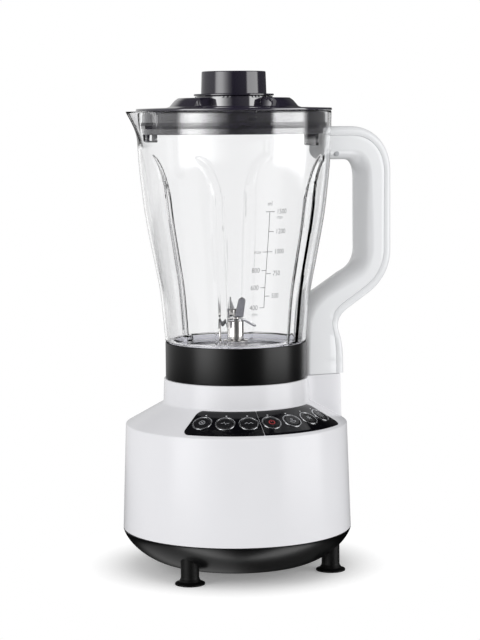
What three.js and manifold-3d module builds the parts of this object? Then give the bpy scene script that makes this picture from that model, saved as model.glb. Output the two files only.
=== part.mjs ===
// Countertop blender: motor base with seven push buttons, clear ribbed jug with a handle, lid and cap.
// Millimetres, +Z up. The front faces -Y, the handle is on +X and the pouring spout on -X.
// Radii are measured from the drive axis and heights from the surface that the feet stand on.
import * as THREE from 'three';
import { mergeVertices } from 'three/addons/utils/BufferGeometryUtils.js';
import Module from 'manifold-3d';

const wasm = await Module();
wasm.setup();

// ---- driving dimensions ----
const GAP = 0.3;
const WALL = 2.7;
const ROUND = 36;
const SMALL_ROUND = 12;
const FINE_ROUND = 72;

const BASE_RADIUS = 97.4;
const SKIRT_BOTTOM = 6;
const SKIRT_FLAT_RADIUS = 62;
const SKIRT_BULGE = 4 / 3;
const SKIRT_TOP = 34.4;
const RIM_RADIUS = 94.3;
const RIM_HEIGHT = 123.8;
const NECK_RADIUS = 62;
const NECK_FOOT = 142;
const NECK_TOP = 162.3;
const DECK_TOP = 152.5;
const DECK_THICKNESS = 2.5;
const CONE_WALL = 3.4;
const RECESS_RADIUS = 58.5;
const CONE_SLOPE = Math.atan2(NECK_FOOT - RIM_HEIGHT, RIM_RADIUS - NECK_RADIUS);

const LOBE_REACH = 92;
const LOBE_HALF_WIDTH = 19.5;

const PANEL_INNER = 64.5;
const PANEL_OUTER = 91;
const PANEL_HALF_ANGLE = 51;
const PANEL_DEPTH = 1.2;
const PANEL_PROUD = 0.3;
const BUTTON_COUNT = 7;
const BUTTON_PITCH = 14.3;
const BUTTON_CIRCLE = 77.5;
const BUTTON_RADIUS = 7;
const BUTTON_TRAVEL = 1;
const RING_RADIUS = 8.25;

const FOOT_CIRCLE = 83;
const FOOT_ANGLES = { front_left: -50, front_right: 50, rear_right: 147, rear_left: -147 };
const FOOT_LEG_RADIUS = 7.6;
const FOOT_LEG_TOP = 28;

const COLLAR_RADIUS = 59.8;
const COLLAR_TOP = 193;
const JUG_FLOOR = 190;
const JUG_FOOT_RADIUS = 54.9;
const JUG_STEP = 195.2;
const JUG_RIM = 387.6;
const JUG_WALL = [
  [59.9, 195], [61, 208], [64, 237], [69.4, 266], [75.6, 300], [79.2, 330], [81.2, 354], [82, JUG_RIM],
];
const RIB_ANGLE = 32;
const RIB_DEPTH = 4.5;
const RIB_BEND = 311.6;
const RIB_RISE = 37;
const RIB_SWEEP = 13;
const SPOUT_REACH = 14;
const SPOUT_ROOT = 357;
const SPOUT_HALF_ANGLE = 16;

const HANDLE_REACH = 139;
const HANDLE_HALF_WIDTH = 18;
const SPINE_THICKNESS = 7.5;
const HANDLE_TOP = 374;
const GRIP_THICKNESS = 26;

const LID_RADIUS = 82.6;
const LID_SKIRT_RADIUS = 77.2;
const LID_SKIRT_BOTTOM = 368.3;
const LID_FACE = 389.8;
const FILLER_RADIUS = 24.3;
const CAP_BASE = 400.3;
const CAP_TOP = 420.6;

const SHAFT_RADIUS = 4;
const BLADE_SHAFT_RADIUS = 3;
const PIN_RADIUS = 2.5;
const PIN_CIRCLE = 54.5;
const AXIS_OFFSET = (BASE_RADIUS - HANDLE_REACH) / 2;

// ---- finishes ----
const finish = (color, roughness, metalness = 0) =>
  () => new THREE.MeshStandardMaterial({ color, roughness, metalness });
const white = finish(0xe4e4e8, 0.3);
const black = finish(0x141416, 0.35);
const pianoBlack = finish(0x0c0c0e, 0.12);
const clear = () => new THREE.MeshStandardMaterial({
  color: 0xe9edf2, roughness: 0.08, metalness: 0, transparent: true, opacity: 0.35,
});
const smoke = finish(0x1f1d27, 0.15);
const grip = finish(0xe8e9ec, 0.28);
const steel = finish(0xb9bbc0, 0.25, 1);
const chrome = finish(0xd2d4d8, 0.15, 1);
const iron = finish(0x55585e, 0.5, 0.8);
const copper = finish(0xb06a3a, 0.4, 0.9);
const rubber = finish(0x1a1a1b, 0.8);
const silicone = finish(0xdcdde0, 0.6);
const board = finish(0x1e5a36, 0.6);
const nylon = finish(0x8d9096, 0.55);
const carbon = finish(0x2b2c30, 0.7);

// ---- helpers ----
const radians = THREE.MathUtils.degToRad;
const place = (angle, radius, height) =>
  new THREE.Vector3(radius * Math.sin(radians(angle)), -radius * Math.cos(radians(angle)), height);
const coneHeight = (radius) => RIM_HEIGHT + (RIM_RADIUS - radius) * Math.tan(CONE_SLOPE);

// Revolves [radius, height] points about the Z axis; outer walls run upwards.
function turned(points, segments = ROUND) {
  const profile = points.map(([radius, height]) => new THREE.Vector2(radius, height));
  return new THREE.LatheGeometry(profile, segments).rotateX(Math.PI / 2);
}

function closedRing(points, segments = ROUND) {
  return turned([...points, points[0]], segments);
}

function rod(radius, low, high, segments = SMALL_ROUND) {
  return turned([[0, low], [radius, low], [radius, high], [0, high]], segments);
}

function sleeve(outer, inner, low, high, segments = SMALL_ROUND) {
  return closedRing([[inner, low], [outer, low], [outer, high], [inner, high]], segments);
}

const outlined = (points) => new THREE.Shape(points.map(([x, y]) => new THREE.Vector2(x, y)));

// Extrudes a plan-view shape from height low to height high.
function slab(shape, low, high, curveSegments = 8) {
  return new THREE.ExtrudeGeometry(shape, { depth: high - low, bevelEnabled: false, curveSegments })
    .translate(0, 0, low);
}

function solid(geometry) {
  const bare = geometry.clone();
  bare.deleteAttribute('normal');
  bare.deleteAttribute('uv');
  const merged = mergeVertices(bare, 1e-4);
  const index = merged.index.array;
  const triangles = [];
  for (let i = 0; i < index.length; i += 3) {
    const [a, b, c] = [index[i], index[i + 1], index[i + 2]];
    if (a !== b && b !== c && c !== a) triangles.push(a, b, c);
  }
  return new wasm.Manifold(new wasm.Mesh({
    numProp: 3,
    vertProperties: new Float32Array(merged.attributes.position.array),
    triVerts: new Uint32Array(triangles),
  }));
}

function geometryOf(body) {
  const { vertProperties, triVerts } = body.getMesh();
  const geometry = new THREE.BufferGeometry();
  geometry.setAttribute('position', new THREE.BufferAttribute(vertProperties, 3));
  geometry.setIndex(new THREE.BufferAttribute(triVerts, 1));
  geometry.computeVertexNormals();
  return geometry;
}

function cut(geometry, ...tools) {
  return geometryOf(tools.reduce((body, tool) => body.subtract(solid(tool)), solid(geometry)));
}

function joined(geometry, ...additions) {
  return geometryOf(additions.reduce((body, extra) => body.add(solid(extra)), solid(geometry)));
}

// A plan-view ring sector between two angles from the front, with optional corner rounding.
function sector(inner, outer, start, end, corner = 0) {
  const shape = new THREE.Shape();
  const at = (radius, angle) => place(angle, radius, 0);
  const steps = 7;
  const arc = (radius, from, to, first) => {
    for (let i = 0; i <= steps; i++) {
      const p = at(radius, from + (to - from) * i / steps);
      if (first && i === 0) shape.moveTo(p.x, p.y);
      else shape.lineTo(p.x, p.y);
    }
  };
  const bend = (radius, angle, nextRadius, nextAngle) => {
    const control = at(radius, angle);
    const target = at(nextRadius, nextAngle);
    shape.quadraticCurveTo(control.x, control.y, target.x, target.y);
  };
  const inset = (radius) => THREE.MathUtils.radToDeg(corner / radius);
  arc(outer, start + inset(outer), end - inset(outer), true);
  if (corner > 0) {
    bend(outer, end, outer - corner, end);
    shape.lineTo(at(inner + corner, end).x, at(inner + corner, end).y);
    bend(inner, end, inner, end - inset(inner));
  }
  arc(inner, end - inset(inner), start + inset(inner), false);
  if (corner > 0) {
    bend(inner, start, inner + corner, start);
    shape.lineTo(at(outer - corner, start).x, at(outer - corner, start).y);
    bend(outer, start, outer, start + inset(outer));
  }
  return shape;
}

// A band that follows the cone shoulder, from `low` to `high` along the surface normal.
function coneBand(inner, outer, low, high) {
  const point = (radius, lift) => [
    radius + lift * Math.sin(CONE_SLOPE),
    coneHeight(radius) + lift * Math.cos(CONE_SLOPE),
  ];
  return closedRing([point(inner, low), point(outer, low), point(outer, high), point(inner, high)]);
}

// Turns a shape made about the Z axis so that it stands on the cone shoulder at the given angle.
function onCone(geometry, angle, radius) {
  const spot = place(angle, radius, coneHeight(radius));
  return geometry.rotateX(CONE_SLOPE).rotateZ(radians(angle)).translate(spot.x, spot.y, spot.z);
}

const middleButton = (BUTTON_COUNT - 1) / 2;
const buttonAngles = Array.from({ length: BUTTON_COUNT }, (_, i) => (i - middleButton) * BUTTON_PITCH);
const seamAngle = -BUTTON_PITCH / 2;

// ---- motor base ----
function lobeShape() {
  const reachAngle = THREE.MathUtils.radToDeg(Math.asin(LOBE_HALF_WIDTH / LOBE_REACH));
  const corner = 7;
  const shape = new THREE.Shape();
  shape.moveTo(50, -LOBE_HALF_WIDTH);
  shape.lineTo(LOBE_REACH - corner - 2, -LOBE_HALF_WIDTH);
  const first = place(90 - reachAngle * 0.6, LOBE_REACH, 0);
  shape.quadraticCurveTo(LOBE_REACH - 2, -LOBE_HALF_WIDTH, first.x, first.y);
  shape.quadraticCurveTo(LOBE_REACH + 1, 0, first.x, -first.y);
  shape.quadraticCurveTo(LOBE_REACH - 2, LOBE_HALF_WIDTH, LOBE_REACH - corner - 2, LOBE_HALF_WIDTH);
  shape.lineTo(50, LOBE_HALF_WIDTH);
  return shape;
}

function housing() {
  const outer = turned([
    [0, SKIRT_TOP + GAP], [BASE_RADIUS, SKIRT_TOP + GAP], [RIM_RADIUS, RIM_HEIGHT - 1.2],
    [RIM_RADIUS - 0.8, RIM_HEIGHT + 0.2], [NECK_RADIUS + 1, NECK_FOOT - 0.8], [NECK_RADIUS, NECK_FOOT + 1],
    [NECK_RADIUS - 0.5, NECK_TOP], [0, NECK_TOP],
  ]);
  const cavity = turned([
    [0, SKIRT_TOP - 1], [BASE_RADIUS - WALL, SKIRT_TOP - 1],
    [RIM_RADIUS - WALL, coneHeight(RIM_RADIUS - WALL) - CONE_WALL],
    [59, coneHeight(59) - CONE_WALL - 1.5], [59, DECK_TOP - DECK_THICKNESS], [0, DECK_TOP - DECK_THICKNESS],
  ]);
  const recess = rod(RECESS_RADIUS, DECK_TOP, NECK_TOP + 5, ROUND);
  const shaftHole = rod(14.5, DECK_TOP - 5, DECK_TOP + 5, SMALL_ROUND);
  const pinHole = rod(PIN_RADIUS + GAP, DECK_TOP - 5, DECK_TOP + 5, 12).translate(0, PIN_CIRCLE, 0);
  const body = solid(outer).add(solid(slab(lobeShape(), 112, NECK_TOP)));
  const panelBed = solid(coneBand(PANEL_INNER - GAP, PANEL_OUTER + GAP, -PANEL_DEPTH - GAP, 4))
    .intersect(solid(slab(sector(50, 110, -PANEL_HALF_ANGLE - 0.3, PANEL_HALF_ANGLE + 0.3), 100, 170)));
  const tools = [cavity, recess, shaftHole, pinHole];
  tools.push(...buttonAngles.map((angle) => onCone(rod(3.4, -8, 3, 12), angle, BUTTON_CIRCLE)));
  return geometryOf(tools.reduce((rest, tool) => rest.subtract(solid(tool)), body.subtract(panelBed)));
}

function panel(start, end) {
  const outline = slab(sector(PANEL_INNER + 0.5, PANEL_OUTER + 0.5, start, end, 5), 100, 170);
  let body = solid(coneBand(PANEL_INNER, PANEL_OUTER, -PANEL_DEPTH, PANEL_PROUD)).intersect(solid(outline));
  for (const angle of buttonAngles) {
    if (angle > start && angle < end) {
      body = body.subtract(solid(onCone(rod(RING_RADIUS + GAP, -5, 5), angle, BUTTON_CIRCLE)));
    }
  }
  return geometryOf(body);
}

function buttonRing() {
  const inner = BUTTON_RADIUS + GAP;
  return closedRing([
    [inner, -PANEL_DEPTH], [RING_RADIUS, -PANEL_DEPTH], [RING_RADIUS, 0.5], [RING_RADIUS - 0.45, 0.9],
    [inner, 0.7],
  ], SMALL_ROUND);
}

function button() {
  return turned([
    [0, -8], [3, -8], [3, -0.1], [BUTTON_RADIUS, -0.1], [BUTTON_RADIUS, 0.8], [BUTTON_RADIUS - 0.6, 1.2],
    [0, 1.3],
  ], SMALL_ROUND);
}

function skirt() {
  const depth = SKIRT_TOP - SKIRT_BOTTOM;
  const reach = BASE_RADIUS - SKIRT_FLAT_RADIUS;
  const quarter = (radius, height, steps) => Array.from({ length: steps + 1 }, (_, i) => {
    const t = (i / steps) * Math.PI / 2;
    return [
      SKIRT_FLAT_RADIUS + radius * Math.sin(t) ** SKIRT_BULGE,
      SKIRT_TOP - height * Math.cos(t) ** SKIRT_BULGE,
    ];
  });
  const shell = turned([
    [0, SKIRT_BOTTOM], ...quarter(reach, depth, 6),
    ...quarter(reach - WALL, depth - WALL, 5).reverse(), [0, SKIRT_BOTTOM + WALL],
  ]);
  const holes = Object.values(FOOT_ANGLES).map((angle) => {
    const spot = place(angle, FOOT_CIRCLE, 0);
    return rod(FOOT_LEG_RADIUS + GAP, 0, 30, SMALL_ROUND).translate(spot.x, spot.y, 0);
  });
  const vents = [-30, -18, -6, 6, 18, 30].map((y) => slab(
    outlined([[-32, y - 2], [32, y - 2], [32, y + 2], [-32, y + 2]]),
    0, 20,
  ));
  const glandHole = rod(6 + GAP, 60, 120, 16).rotateX(-Math.PI / 2).translate(0, 0, 23);
  return cut(shell, ...holes, ...vents, glandHole);
}

function foot() {
  return turned([
    [0, 1.4], [8.5, 1], [9.6, 0], [12.4, 0], [12.4, 1], [9.8, 3], [FOOT_LEG_RADIUS, 5.5],
    [FOOT_LEG_RADIUS, FOOT_LEG_TOP], [0, FOOT_LEG_TOP],
  ], SMALL_ROUND);
}

function cableGland() {
  return closedRing([[3.4, 84], [6, 84], [6, 92], [5.4, 97], [3.4, 97]], 16)
    .rotateX(-Math.PI / 2).translate(0, 0, 23);
}

function controlBoard() {
  const plate = solid(coneBand(68, 87, -13, -11.4))
    .intersect(solid(slab(sector(60, 100, -48, 48), 90, 160)));
  return geometryOf(buttonAngles.reduce(
    (body, angle) => body.add(solid(onCone(rod(3, -12, -9.5, 12), angle, BUTTON_CIRCLE))), plate,
  ));
}

// ---- motor ----
const CORE_LOW = 72;
const CORE_HIGH = 104;
const CORE_WIDTH = 76;
const CORE_DEPTH = 66;
const COIL_INNER = 24.5;
const COIL_OUTER = 30;
const COIL_HALF_ANGLE = 45;
const LOWER_FRAME = 50;
const UPPER_FRAME = 120;
const FRAME_SHEET = 3;
const BEARING_RADIUS = 8;

function roundedPlate(width, depth, corner) {
  const [x, y] = [width / 2, depth / 2];
  const shape = new THREE.Shape();
  shape.moveTo(x - corner, -y);
  shape.quadraticCurveTo(x, -y, x, -y + corner);
  shape.lineTo(x, y - corner);
  shape.quadraticCurveTo(x, y, x - corner, y);
  shape.lineTo(-x + corner, y);
  shape.quadraticCurveTo(-x, y, -x, y - corner);
  shape.lineTo(-x, -y + corner);
  shape.quadraticCurveTo(-x, -y, -x + corner, -y);
  return shape;
}

// One field coil lies in a half-ring window on each side; `ease` widens it into the window's outline.
function coilBand(side, ease) {
  const half = COIL_HALF_ANGLE + 3 * ease;
  return sector(COIL_INNER - ease, COIL_OUTER + ease, side * 90 - half, side * 90 + half);
}

function stator() {
  const core = slab(roundedPlate(CORE_WIDTH, CORE_DEPTH, 8), CORE_LOW, CORE_HIGH);
  const windows = [-1, 1].map((side) => slab(coilBand(side, GAP), CORE_LOW - 8, CORE_HIGH + 8));
  return cut(core, rod(COIL_INNER - 1.5, 0, 150, 32), ...windows);
}

function fieldCoil(side) {
  return slab(coilBand(side, 0), CORE_LOW - 7, CORE_HIGH + 7);
}

function endFrame(low, hubLow, hubHigh) {
  const plate = slab(roundedPlate(78, 60, 6), low, low + FRAME_SHEET);
  return cut(joined(plate, rod(12, hubLow, hubHigh, 24)), rod(BEARING_RADIUS + GAP, 0, 200, 24));
}

function fan() {
  const blades = Array.from({ length: 8 }, (_, i) =>
    new THREE.BoxGeometry(20, 1.6, 6).rotateX(0.5).translate(17, 0, 115.5).rotateZ(i * Math.PI / 4));
  return joined(sleeve(9, SHAFT_RADIUS + GAP, 112.3, 118.7, 16), ...blades);
}

function brush(side) {
  return new THREE.BoxGeometry(10, 6, 8).translate(side * 17.2, 0, 62);
}

// A six-lobed outline, shared by the two halves of the drive coupling.
function lobedOutline(radius) {
  const steps = 36;
  return new THREE.Shape(Array.from({ length: steps }, (_, i) => {
    const angle = (i / steps) * 2 * Math.PI;
    const reach = radius + 1.4 * Math.cos(6 * angle);
    return new THREE.Vector2(reach * Math.cos(angle), reach * Math.sin(angle));
  }));
}

function driveCoupling() {
  const star = slab(lobedOutline(8.6), DECK_TOP + 1, DECK_TOP + 10);
  const hub = rod(13.5, DECK_TOP - 2.5, DECK_TOP + 1.5);
  return cut(joined(hub, star), rod(SHAFT_RADIUS + GAP, 0, DECK_TOP + 5, 16));
}

function jugCoupling() {
  const cup = rod(14, DECK_TOP + 2.2, DECK_TOP + 15, 24);
  const socket = slab(lobedOutline(9.4), DECK_TOP - 5, DECK_TOP + 11);
  return cut(cup, socket, rod(BLADE_SHAFT_RADIUS + GAP, 0, 200, 12));
}

// ---- jug ----
const smooth = (value, from, to) => THREE.MathUtils.smoothstep(value, from, to);

// How far the jug's wall stands in at the four ribs, mirrored in each quarter, and out at the spout.
function wallOffset(angle, height) {
  const away = (target) => Math.abs(((angle - target + 540) % 360) - 180);
  const folded = Math.min(Math.abs(angle), 180 - Math.abs(angle));
  const bend = THREE.MathUtils.clamp((height - RIB_BEND) / RIB_RISE, 0, 1);
  const middle = RIB_ANGLE + RIB_SWEEP * (1 - Math.sqrt(1 - bend ** 2));
  const rib = -RIB_DEPTH * (1 - smooth(Math.abs(folded - middle), 3, 8)) * (1 - bend ** 2);
  const side = Math.max(0, 1 - away(-90) / SPOUT_HALF_ANGLE);
  const rise = Math.max(0, (height - SPOUT_ROOT) / (JUG_RIM - SPOUT_ROOT));
  return rib + SPOUT_REACH * side * rise ** 1.3;
}

function jugWall(offset, count) {
  const knots = JUG_WALL.map(([radius, height]) => new THREE.Vector2(radius - offset, height));
  const curve = new THREE.SplineCurve(knots);
  return curve.getPoints(count).map((point) => [point.x, point.y]);
}

function jugBody() {
  const foot = JUG_FOOT_RADIUS;
  const geometry = turned([
    [9, JUG_FLOOR - 3], [foot, JUG_FLOOR - 3], [foot, COLLAR_TOP + GAP], ...jugWall(0, 8),
    ...jugWall(WALL, 8).reverse(), [foot - 1.9, JUG_STEP], [foot - 3.4, JUG_FLOOR], [9, JUG_FLOOR],
    [9, JUG_FLOOR - 3],
  ], FINE_ROUND);
  const position = geometry.attributes.position;
  const vertex = new THREE.Vector3();
  for (let i = 0; i < position.count; i++) {
    vertex.fromBufferAttribute(position, i);
    const radius = Math.hypot(vertex.x, vertex.y);
    if (radius < 40) continue;
    const angle = THREE.MathUtils.radToDeg(Math.atan2(vertex.x, -vertex.y));
    const scale = (radius + wallOffset(angle, vertex.z)) / radius;
    position.setXYZ(i, vertex.x * scale, vertex.y * scale, vertex.z);
  }
  return geometry;
}

const COLLAR_DECK = JUG_FLOOR - 5.2;
const COLLAR_BORE = 16;

function collar() {
  const inner = COLLAR_RADIUS - WALL;
  return closedRing([
    [54.8, DECK_TOP + GAP], [57.6, DECK_TOP + GAP], [57.6, NECK_TOP], [58, NECK_TOP + GAP],
    [COLLAR_RADIUS, NECK_TOP + GAP], [COLLAR_RADIUS, COLLAR_TOP - 0.8], [COLLAR_RADIUS - 0.8, COLLAR_TOP],
    [inner, COLLAR_TOP], [inner, COLLAR_DECK], [COLLAR_BORE, COLLAR_DECK], [COLLAR_BORE, COLLAR_DECK - 4],
    [54.8, COLLAR_DECK - 4],
  ]);
}

// The soft seal under the jug's floor, with a lip that stands up round the jug's foot.
function jugSeal() {
  const outer = COLLAR_RADIUS - WALL - GAP;
  const lip = JUG_FOOT_RADIUS + GAP;
  const [low, high] = [COLLAR_DECK + GAP, JUG_FLOOR - 3 - GAP];
  return closedRing([
    [COLLAR_BORE + 1, low], [outer, low], [outer, COLLAR_TOP - 0.4], [lip, COLLAR_TOP - 0.4], [lip, high],
    [COLLAR_BORE + 1, high],
  ]);
}

// ---- blade unit ----
const HUB_TOP = 210.5;
const LOW_PAIR = 211.7;
const TALL_PAIR = 214.2;

function bladeHub() {
  const body = turned([
    [0, 170.5], [8.2, 170.5], [8.2, JUG_FLOOR + 0.4], [10.4, JUG_FLOOR + 1.2], [10.4, 194],
    [6.9, 195.5], [6.9, HUB_TOP - 1.5], [5.6, HUB_TOP], [0, HUB_TOP],
  ], 24);
  return cut(body, rod(BLADE_SHAFT_RADIUS + GAP, 0, 300, 16));
}

// A blade drawn flat from its bend, then raised by `lean` and turned to `heading` from the front, in degrees.
function blade(outline, lean, heading, height) {
  const shape = new THREE.Shape();
  shape.moveTo(...outline[0]);
  shape.splineThru(outline.slice(1).map(([x, y]) => new THREE.Vector2(x, y)));
  return slab(shape, -0.7, 0.7, 3)
    .rotateY(radians(-lean)).translate(5.8, 0, height).rotateZ(radians(heading - 90));
}

function bladePair(outline, lean, heading, height) {
  const plate = rod(6.4, height - 0.9, height + 0.9, 20);
  const arms = [0, 180].map((turn) => blade(outline, lean, heading + turn, height));
  return cut(joined(plate, ...arms), rod(BLADE_SHAFT_RADIUS + GAP, 0, 300, 16));
}

function tallBlades() {
  const outline = [[0, -4.2], [8, -4.6], [15, -3.6], [20, 0.8], [17, 3.2], [9, 4.2], [0, 4.2]];
  return bladePair(outline, 66, 1, TALL_PAIR);
}

function lowBlades() {
  const outline = [[0, -4.2], [7, -4.4], [13, -2.6], [17, 0.4], [13, 3.2], [7, 4.2], [0, 4.2]];
  return bladePair(outline, -18, 75, LOW_PAIR);
}

function capNut() {
  return turned([[0, 215.6], [5.2, 215.6], [5.2, 219.2], [3.4, 220.6], [0, 221]], 6);
}

// ---- handle ----
const HANDLE_FOOT = NECK_TOP + GAP + 0.1;

// The handle's outer edge in the X-height plane, from the jug wall over the grip and down to the lobe.
function outerEdge() {
  const path = new THREE.Path();
  path.moveTo(60, HANDLE_TOP);
  path.lineTo(103, HANDLE_TOP);
  path.bezierCurveTo(124, HANDLE_TOP - 1, HANDLE_REACH - 1, 358, HANDLE_REACH, 337);
  path.lineTo(HANDLE_REACH, 268);
  path.bezierCurveTo(HANDLE_REACH, 251, 130, 239, 118.3, 230.8);
  path.lineTo(99, 218.6);
  path.bezierCurveTo(87, 211, 87.4, 203, 91.2, 194);
  path.bezierCurveTo(93.4, 187, 93.8, 177, 93.8, HANDLE_FOOT);
  return path.getPoints(6);
}

// The inner edge of the grip, from the foot up to the underside of the top arm.
function innerEdge() {
  const ridge = HANDLE_REACH - GRIP_THICKNESS;
  const path = new THREE.Path();
  path.moveTo(50, HANDLE_FOOT);
  path.lineTo(50, 219.5);
  path.lineTo(96, 246.2);
  path.bezierCurveTo(107, 252, ridge, 257, ridge, 268);
  path.lineTo(ridge, 332);
  path.bezierCurveTo(ridge, 341, 110, 345.4, 101, 345.6);
  path.lineTo(60, 345.8);
  return path.getPoints(6);
}

// Moves an edge inwards, square to its own direction; its two ends stay on their own lines.
function inset(edge, distance) {
  return edge.map((point, i) => {
    const along = edge[Math.min(i + 1, edge.length - 1)].clone().sub(edge[Math.max(i - 1, 0)]).normalize();
    return new THREE.Vector2(point.x + along.y * distance, point.y - along.x * distance);
  });
}

function gripShape() {
  return new THREE.Shape([...inset(outerEdge(), SPINE_THICKNESS + GAP), ...innerEdge()]);
}

function spineShape() {
  return new THREE.Shape([...outerEdge(), ...inset(outerEdge(), SPINE_THICKNESS).reverse()]);
}

// Shape drawn in the X-height plane, thickened evenly to both sides of the handle's mid-plane.
function sideways(shape, halfWidth, edge) {
  return new THREE.ExtrudeGeometry(shape, {
    depth: 2 * (halfWidth - edge), bevelEnabled: edge > 0, bevelThickness: edge, bevelSize: edge,
    bevelOffset: -edge, bevelSegments: 1, curveSegments: 8,
  }).rotateX(Math.PI / 2).translate(0, halfWidth - edge, 0);
}

// The space kept free for the jug wall and the collar.
function jugClearance() {
  const wall = jugWall(-2 * GAP, 8);
  const side = COLLAR_RADIUS + 2 * GAP;
  return turned([[0, 150], [side, 150], [side, COLLAR_TOP + 1], ...wall, [wall.at(-1)[0], 400], [0, 400]]);
}

const SCREW_X = 87;
const SCREW_HEIGHTS = { upper: 362.5, lower: 351 };

function handleGrip() {
  const pockets = Object.values(SCREW_HEIGHTS).map((height) =>
    rod(2.4 + GAP, 0, 30, 16).rotateX(Math.PI / 2).translate(SCREW_X, -14, height));
  return cut(sideways(gripShape(), HANDLE_HALF_WIDTH, 5), jugClearance(), ...pockets);
}

function handleSpine() {
  return cut(sideways(spineShape(), HANDLE_HALF_WIDTH, 1.5), jugClearance());
}

function handleScrew(height) {
  return turned([[0, 0], [2.4, 0], [2.4, 2.8], [1.8, 3.4], [0, 3.5]], 16)
    .rotateX(Math.PI / 2).translate(SCREW_X, -14.4, height);
}

// ---- lid ----
const STRAINER_LOW = 362.2;

const LOCATOR_ANGLE = -10.8;
const RING_TOP = 398.5;
const RING_UNDER = 395.8;
const WINDOW_MIDDLE = -18;
const WINDOW_HALF_ANGLE = 40;
const WINDOW_TOP = LID_FACE + 1.6;
const WINDOW_UNDER = WINDOW_TOP - 2.7;

// The raised ring round the filler is cut away in one sector, down to the level of the outer face.
function withWindow(geometry) {
  const position = geometry.attributes.position;
  for (let i = 0; i < position.count; i++) {
    const [x, y, z] = [position.getX(i), position.getY(i), position.getZ(i)];
    const radius = Math.hypot(x, y);
    const angle = THREE.MathUtils.radToDeg(Math.atan2(x, -y));
    if (Math.abs(angle - WINDOW_MIDDLE) > WINDOW_HALF_ANGLE) continue;
    if (radius > 32.2 && radius < 55 && z > LID_FACE) position.setZ(i, Math.min(z, WINDOW_TOP));
    if (Math.abs(z - RING_UNDER) < 0.01) position.setZ(i, WINDOW_UNDER);
  }
  return geometry;
}

function lid() {
  const body = withWindow(closedRing([
    [74.6, LID_SKIRT_BOTTOM], [LID_SKIRT_RADIUS, LID_SKIRT_BOTTOM], [LID_SKIRT_RADIUS, JUG_RIM + GAP],
    [LID_RADIUS, JUG_RIM + GAP], [LID_RADIUS, LID_FACE], [55.5, 390.8], [54, 391.6], [49.5, 396.8],
    [47, RING_TOP], [32.5, RING_TOP], [32, 400], [FILLER_RADIUS, 400], [FILLER_RADIUS, 372],
    [FILLER_RADIUS + 2.2, 372], [FILLER_RADIUS + 2.2, RING_UNDER], [46, RING_UNDER], [51.5, 388.3],
    [74.6, 386.4],
  ]));
  const strainer = slab(sector(74.8, LID_SKIRT_RADIUS - 0.1, -103, -77), STRAINER_LOW, LID_SKIRT_BOTTOM + 2);
  const slots = [-97.5, -88.5].map((start) =>
    slab(sector(70, 80, start, start + 6), STRAINER_LOW + 1.2, LID_SKIRT_BOTTOM - 0.8));
  const handleTab = slab(sector(71.5, 75.5, 80, 100), 357.9, LID_SKIRT_BOTTOM + 2);
  const locator = new THREE.BoxGeometry(3, 1.6, 4).translate(0, 0.9 - LID_RADIUS, LID_FACE - 0.5)
    .rotateZ(radians(LOCATOR_ANGLE));
  return cut(joined(body, strainer, handleTab), ...slots, locator);
}

function lidGasket() {
  return closedRing([[77.5, 373], [78.3, 373], [78.8, 375.5], [78.3, 378], [77.5, 378]]);
}

function measuringCap() {
  const tube = FILLER_RADIUS - 0.6;
  return turned([
    [0, CAP_TOP - 2.4], [tube - 2, CAP_TOP - 2.4], [tube - 2, 374], [tube, 374], [tube, CAP_BASE],
    [33.6, CAP_BASE], [33.6, CAP_BASE + 1.5], [27.4, CAP_BASE + 3], [26.8, CAP_TOP - 1.2], [25.6, CAP_TOP],
    [0, CAP_TOP],
  ]);
}

// ---- assembly ----
function add(group, name, geometry, material) {
  const mesh = new THREE.Mesh(geometry, material());
  mesh.name = name;
  group.add(mesh);
  return mesh;
}

function baseGroup() {
  const group = new THREE.Group();
  add(group, 'base_housing', housing(), white);
  add(group, 'base_skirt', skirt(), black);
  add(group, 'panel_left', panel(-PANEL_HALF_ANGLE, seamAngle - 0.15), pianoBlack);
  add(group, 'panel_right', panel(seamAngle + 0.15, PANEL_HALF_ANGLE), pianoBlack);
  buttonAngles.forEach((angle, i) => {
    const stand = new THREE.Group();
    stand.position.copy(place(angle, BUTTON_CIRCLE, coneHeight(BUTTON_CIRCLE)));
    stand.rotation.set(CONE_SLOPE, 0, radians(angle), 'ZXY');
    add(stand, `button_ring_${i + 1}`, buttonRing(), chrome);
    add(stand, `button_${i + 1}`, button(), pianoBlack);
    group.add(stand);
  });
  for (const [name, angle] of Object.entries(FOOT_ANGLES)) {
    add(group, `foot_${name}`, foot(), rubber).position.copy(place(angle, FOOT_CIRCLE, 0));
  }
  add(group, 'cable_gland', cableGland(), rubber);
  add(group, 'control_board', controlBoard(), board);
  add(group, 'interlock_pin', rod(PIN_RADIUS, 138, DECK_TOP - 0.2, 12), nylon).position.y = PIN_CIRCLE;
  add(group, 'interlock_switch', new THREE.BoxGeometry(20, 8, 12), black)
    .position.set(0, PIN_CIRCLE, 129.5);
  return group;
}

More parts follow.
